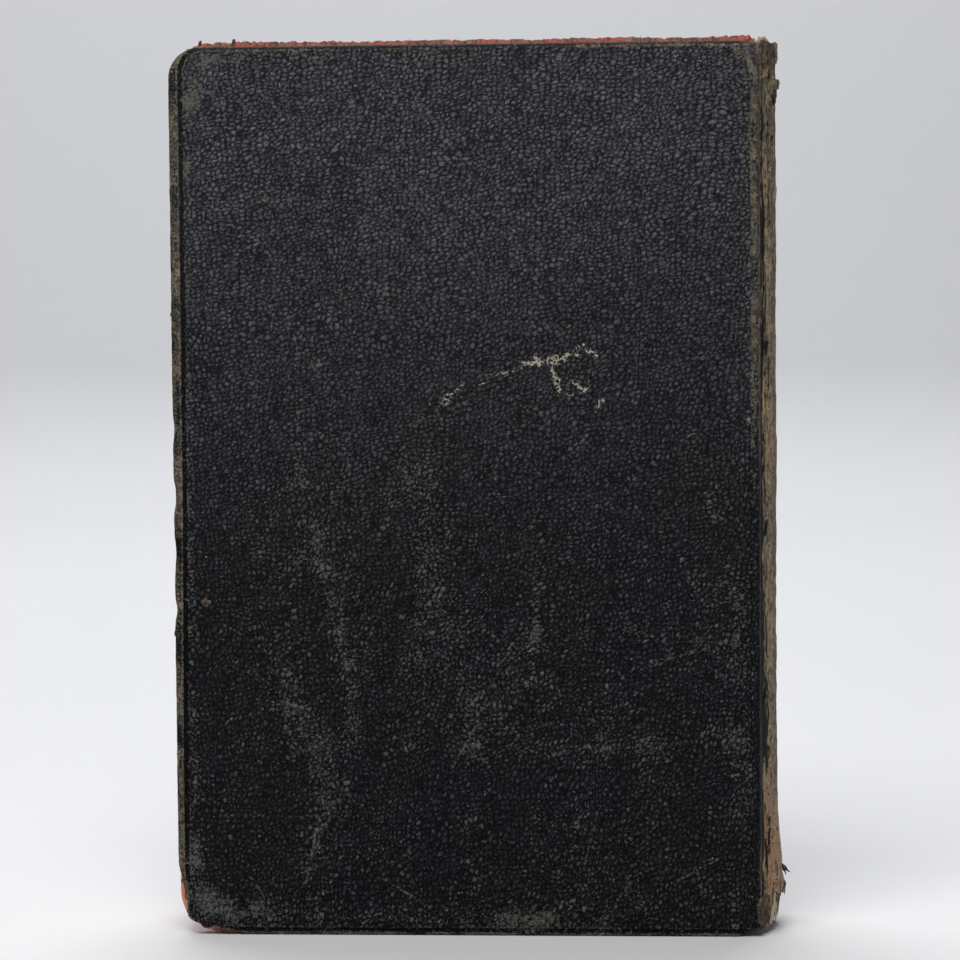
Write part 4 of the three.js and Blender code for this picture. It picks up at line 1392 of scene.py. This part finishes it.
def torn_ends(leather, paper):
    """The loose flakes of leather and paper on the back half of the spine."""
    chips, scraps = [], []
    for number, (along, z, out, width, height, sideways, down, look) in enumerate(SPINE_CHIPS):
        middle, normal = place_on_spine(along, z, out)
        facing = normal + sideways * np.array([normal[1], -normal[0], 0]) - (0, 0, down)
        size = width, height
        chips.append(chip(f"chip_{number}", middle, facing, (0, 0, 1), *size, leather, number, surface=look))
    for number, (root, tip, thickness) in enumerate(SHREDS):
        start, end = place_on_spine(*root)[0], place_on_spine(*tip)[0]
        share = np.linspace(0, 1, 9)[:, None]
        bend = 0.12 * noise(share * 4, share + number * 3, 1.0, 17, 2)
        path = start + share * (end - start) + bend * [1, -1, 0.5]
        share = share[:, 0]
        radii = thickness * (1 - share**1.5 * 0.85) * (1 + 0.35 * noise(share * 5, 0, 1, number))
        chips.append(tube_object(f"shred_{number}", path, radii, leather, 5, surface=DARK_FLAKE))
    for number, (along, z, out, width, height, sideways) in enumerate(TORN_PAPER):
        middle, normal = place_on_spine(along, z, out)
        facing = normal + sideways * np.array([normal[1], -normal[0], 0])
        scraps.append(chip(f"scrap_{number}", middle, facing, (0.1, 0, 1), width, height, paper, number + 40))
    ride_as(join_objects("loose_leather", chips), "back_half", "spine_leather")
    ride_as(join_objects("torn_paper", scraps), "back_half", "leaf_paper")


def cap_flap(name, low_middle, high_middle, ends, seed, material, **values):
    """A loose cap of leather at one end of the spine, lapped over the back joint."""
    shoulder = np.stack([JOINT_X + SHOULDER[5:, 0], SHOULDER[5:, 1] - COVER_Y], 1)
    arc = arc_path(SPINE_RADIUS - 0.05, 8.7, 150)
    arc = arc[arc[:, 1] < ends]
    path = np.concatenate([shoulder, arc])
    run = np.gradient(path, axis=0)
    run /= np.linalg.norm(run, axis=1, keepdims=True)
    path = path + np.stack([run[:, 1], -run[:, 0]], 1) * 0.3
    step = np.linalg.norm(np.diff(path, axis=0), axis=1)
    walked = np.concatenate([[0], np.cumsum(step)])
    share = walked / walked[-1]
    ragged = noise(walked, 0, 0.9, seed, 4)
    round_ends = 1 - np.sqrt(np.clip(1 - (2 * share - 1) ** 4, 0, 1))
    low = low_middle(share) + 0.5 * ragged + 1.2 * round_ends
    high = high_middle(share) + 0.3 * noise(walked, 5, 0.8, seed + 1) - round_ends
    front, back = swept_grids(path, low, high, 0.16, 40)
    lift = 0.22 * noise(front[..., 1] * 1.3, front[..., 2], 1.1, seed + 2, 4) + 0.12 * share**3
    front[..., 0] += lift
    back[..., 0] += lift
    thing = sheet_object(name, front, back, material, **values)
    ride_as(thing, "back_half", "spine_leather")


def end_caps(material):
    """The loose caps at the head and tail of the spine, on the back half."""

    def head_low(share):
        return HEIGHT - 4.6 + 2.8 * bell(share - 0.3, 0.09)

    def head_high(share):
        return HEIGHT - 0.7 + 0.3 * bell(share - 0.45, 0.2)

    def tail_low(share):
        return 1.6 - 0.3 * share

    def tail_high(share):
        return 6.1 + 0.3 * share

    looks = {"surface": (0.55, 0.3, 0.1), "marks": (0.86, 0.25, 0)}
    cap_flap("head_cap", head_low, head_high, -3.9, 131, material, **looks)
    looks = {"surface": (0.5, 0.3, 0.0), "marks": (0.8, 0, 0)}
    cap_flap("tail_cap", tail_low, tail_high, -7.2, 151, material, **looks)


def edge_fibres(material):
    """Torn fibres and crumbs of black leather that stand up along the back cover's edges."""
    rng = np.random.default_rng(5)
    made = []
    top = HEIGHT - BACK_WEAR.head_loss
    y = -COVER_Y + 1.2
    for number in range(46):
        x = rng.uniform(FORE_X + 5, JOINT_X - 1)
        length = rng.uniform(0.35, 1.0) * (1.5 if number % 11 == 0 else 1)
        lean = rng.normal(0, 0.35)
        root = np.array([x, y + rng.uniform(-0.9, 1.0), top - 0.25])
        share = np.linspace(0, 1, 5)[:, None]
        path = root + share * [lean, rng.normal(0, 0.15), length] + share**2 * [rng.normal(0, 0.25), 0, 0]
        made.append(tube_object(f"fibre_{number}", path, np.linspace(0.07, 0.02, 5), material, 5))
    crumbs = [(-42.3, 140.1), (-37.0, 140.3), (FORE_X + 0.05, 47.8), (FORE_X + 0.1, 98.0)]
    for number, (x, z) in enumerate(crumbs):
        facing, up = (0.3, -1, 0.2), (0.3, 0, 1)
        made.append(chip(f"crumb_{number}", (x, y, z), facing, up, 0.5, 0.9, material, number))
    ride_as(join_objects("edge_fibres", made), "back_cover", "black_leather")


# ---------------------------------------------------------------- the book
black_leather = leather_material("black_pebble_leather")
worn_leather = spine_material()
coral_paper = lining_material()
page_paper = paper_material("printed_leaf", (0.66, 0.57, 0.42), (0.52, 0.43, 0.29), (0.42, 0.07, 0.045))
torn_paper = paper_material("torn_paper", (0.60, 0.53, 0.38), (0.42, 0.34, 0.22))
grey_board = card_material("grey_board", (0.22, 0.20, 0.17))
brown_card = card_material("lining_card", (0.40, 0.30, 0.19))
mull_cloth = woven_material("mull_cloth", (0.52, 0.45, 0.31), 0.9)
linen_tape = woven_material("linen_tape", (0.45, 0.36, 0.22), 0.45)
linen_thread = woven_material("linen_thread", (0.55, 0.48, 0.34), 0.2)
silk = endband_material()
dark_fibre = card_material("dark_fibre", (0.05, 0.035, 0.028))

for side, prefix, wear, spacing in ((-1, "back", BACK_WEAR, 0.22), (1, "front", FRONT_WEAR, 0.34)):
    leather = cover_leather(side, f"{prefix}_leather", wear, spacing, black_leather)
    ride_as(leather, f"{prefix}_cover", "black_leather", f"{prefix}_cover_leather")
    board(prefix, wear, grey_board)
    pastedown(side, prefix, wear, coral_paper)
    flyleaf(side, prefix, coral_paper)
    joint_leather(side, prefix, wear, black_leather)
    turning_leaf(prefix, page_paper)
for number in range(1, 13):
    gathering(number, page_paper)
centre_sheet(page_paper)
spine_leather(worn_leather)
spine_layer("spine_lining", "spine_lining", 0.3, 120, brown_card, "lining_card", frayed=0.5, torn=5.0)
spine_layer("mull", "mull", 0.24, 110, mull_cloth, "mull", frayed=0.3, torn=2.6)
for place in ("tail", "middle", "head"):
    spine_layer(f"tape_{place}", f"tape_{place}", 0.28, 14, linen_tape, "linen_tape")
for place in ("tail", "head"):
    kettle_stitches(place, linen_thread)
    endband(place, silk)
centre_stitches(linen_thread)
torn_ends(worn_leather, torn_paper)
end_caps(black_leather)
edge_fibres(dark_fibre)


# ---------------------------------------------------------------- stage, lights and camera
def backdrop():
    """A pale floor that curves up into a pale wall far behind the book."""
    bend_y, bend_radius, wall = 1.0, 0.07, 2.6
    turn = np.linspace(0, math.pi / 2, 24)
    profile = [(-2.6, 0.0), (-1.0, 0.0), (0.0, 0.0), (0.6, 0.0)]
    profile += [(bend_y + bend_radius * math.sin(a), bend_radius * (1 - math.cos(a))) for a in turn]
    profile += [(bend_y + bend_radius, 0.8), (bend_y + bend_radius, wall)]
    points = [(x, y, z) for y, z in profile for x in np.linspace(-3, 3, 13)]
    mesh = bpy.data.meshes.new("backdrop")
    mesh.from_pydata(points, [], grid_faces(len(profile), 13).tolist())
    mesh.shade_smooth()
    mesh.materials.append(stage_material("backdrop_paper", (0.79, 0.793, 0.81)))
    new_object("backdrop", mesh)


def area_light(name, place, target, size, power, colour):
    """A soft square light at a place, facing a target, in metres."""
    light = bpy.data.lights.new(name, "AREA")
    light.shape, light.size, light.energy, light.color = "SQUARE", size, power, colour
    thing = new_object(name, light)
    thing.location = place
    thing.rotation_euler = (Vector(target) - Vector(place)).to_track_quat("-Z", "Y").to_euler()


def camera():
    """A level camera a little over half a metre in front of the back cover, turned slightly to its spine."""
    azimuth, elevation, roll = math.radians(3.6), math.radians(3.2), math.radians(0.45)
    distance = 0.5
    width_seen = 0.15304  # metres, across the picture at the book
    level = Vector((math.sin(azimuth), -math.cos(azimuth), 0))
    back = level * math.cos(elevation) + Vector((0, 0, math.sin(elevation)))
    data = bpy.data.cameras.new("camera")
    data.sensor_width = 36
    data.lens = data.sensor_width * distance / width_seen
    data.clip_start, data.clip_end = 0.01, 20
    thing = new_object("camera", data)
    thing.location = Vector((0.3 * MM, 0, 71.2 * MM)) + back * distance
    thing.rotation_mode = "QUATERNION"
    turn = (-back).to_track_quat("-Z", "Y")
    thing.rotation_quaternion = turn @ Matrix.Rotation(-roll, 3, "Z").to_quaternion()
    bpy.context.scene.camera = thing


def world_light(strength):
    """Even pale light from all round."""
    world = bpy.data.worlds.new("studio")
    world.use_nodes = True
    inputs = world.node_tree.nodes["Background"].inputs
    inputs["Color"].default_value = (0.86, 0.9, 0.96, 1)
    inputs["Strength"].default_value = strength
    bpy.context.scene.world = world


backdrop()
area_light("key", (-0.06, -0.34, 0.58), (0, 0, 0.06), 0.36, 3.0, (1.0, 0.99, 0.97))
area_light("overhead", (-0.16, 0.66, 1.2), (-0.08, 0.85, 0), 1.0, 12.2, (1.0, 1.0, 1.0))
world_light(0.15)
bpy.context.scene.view_settings.view_transform = "Standard"
camera()
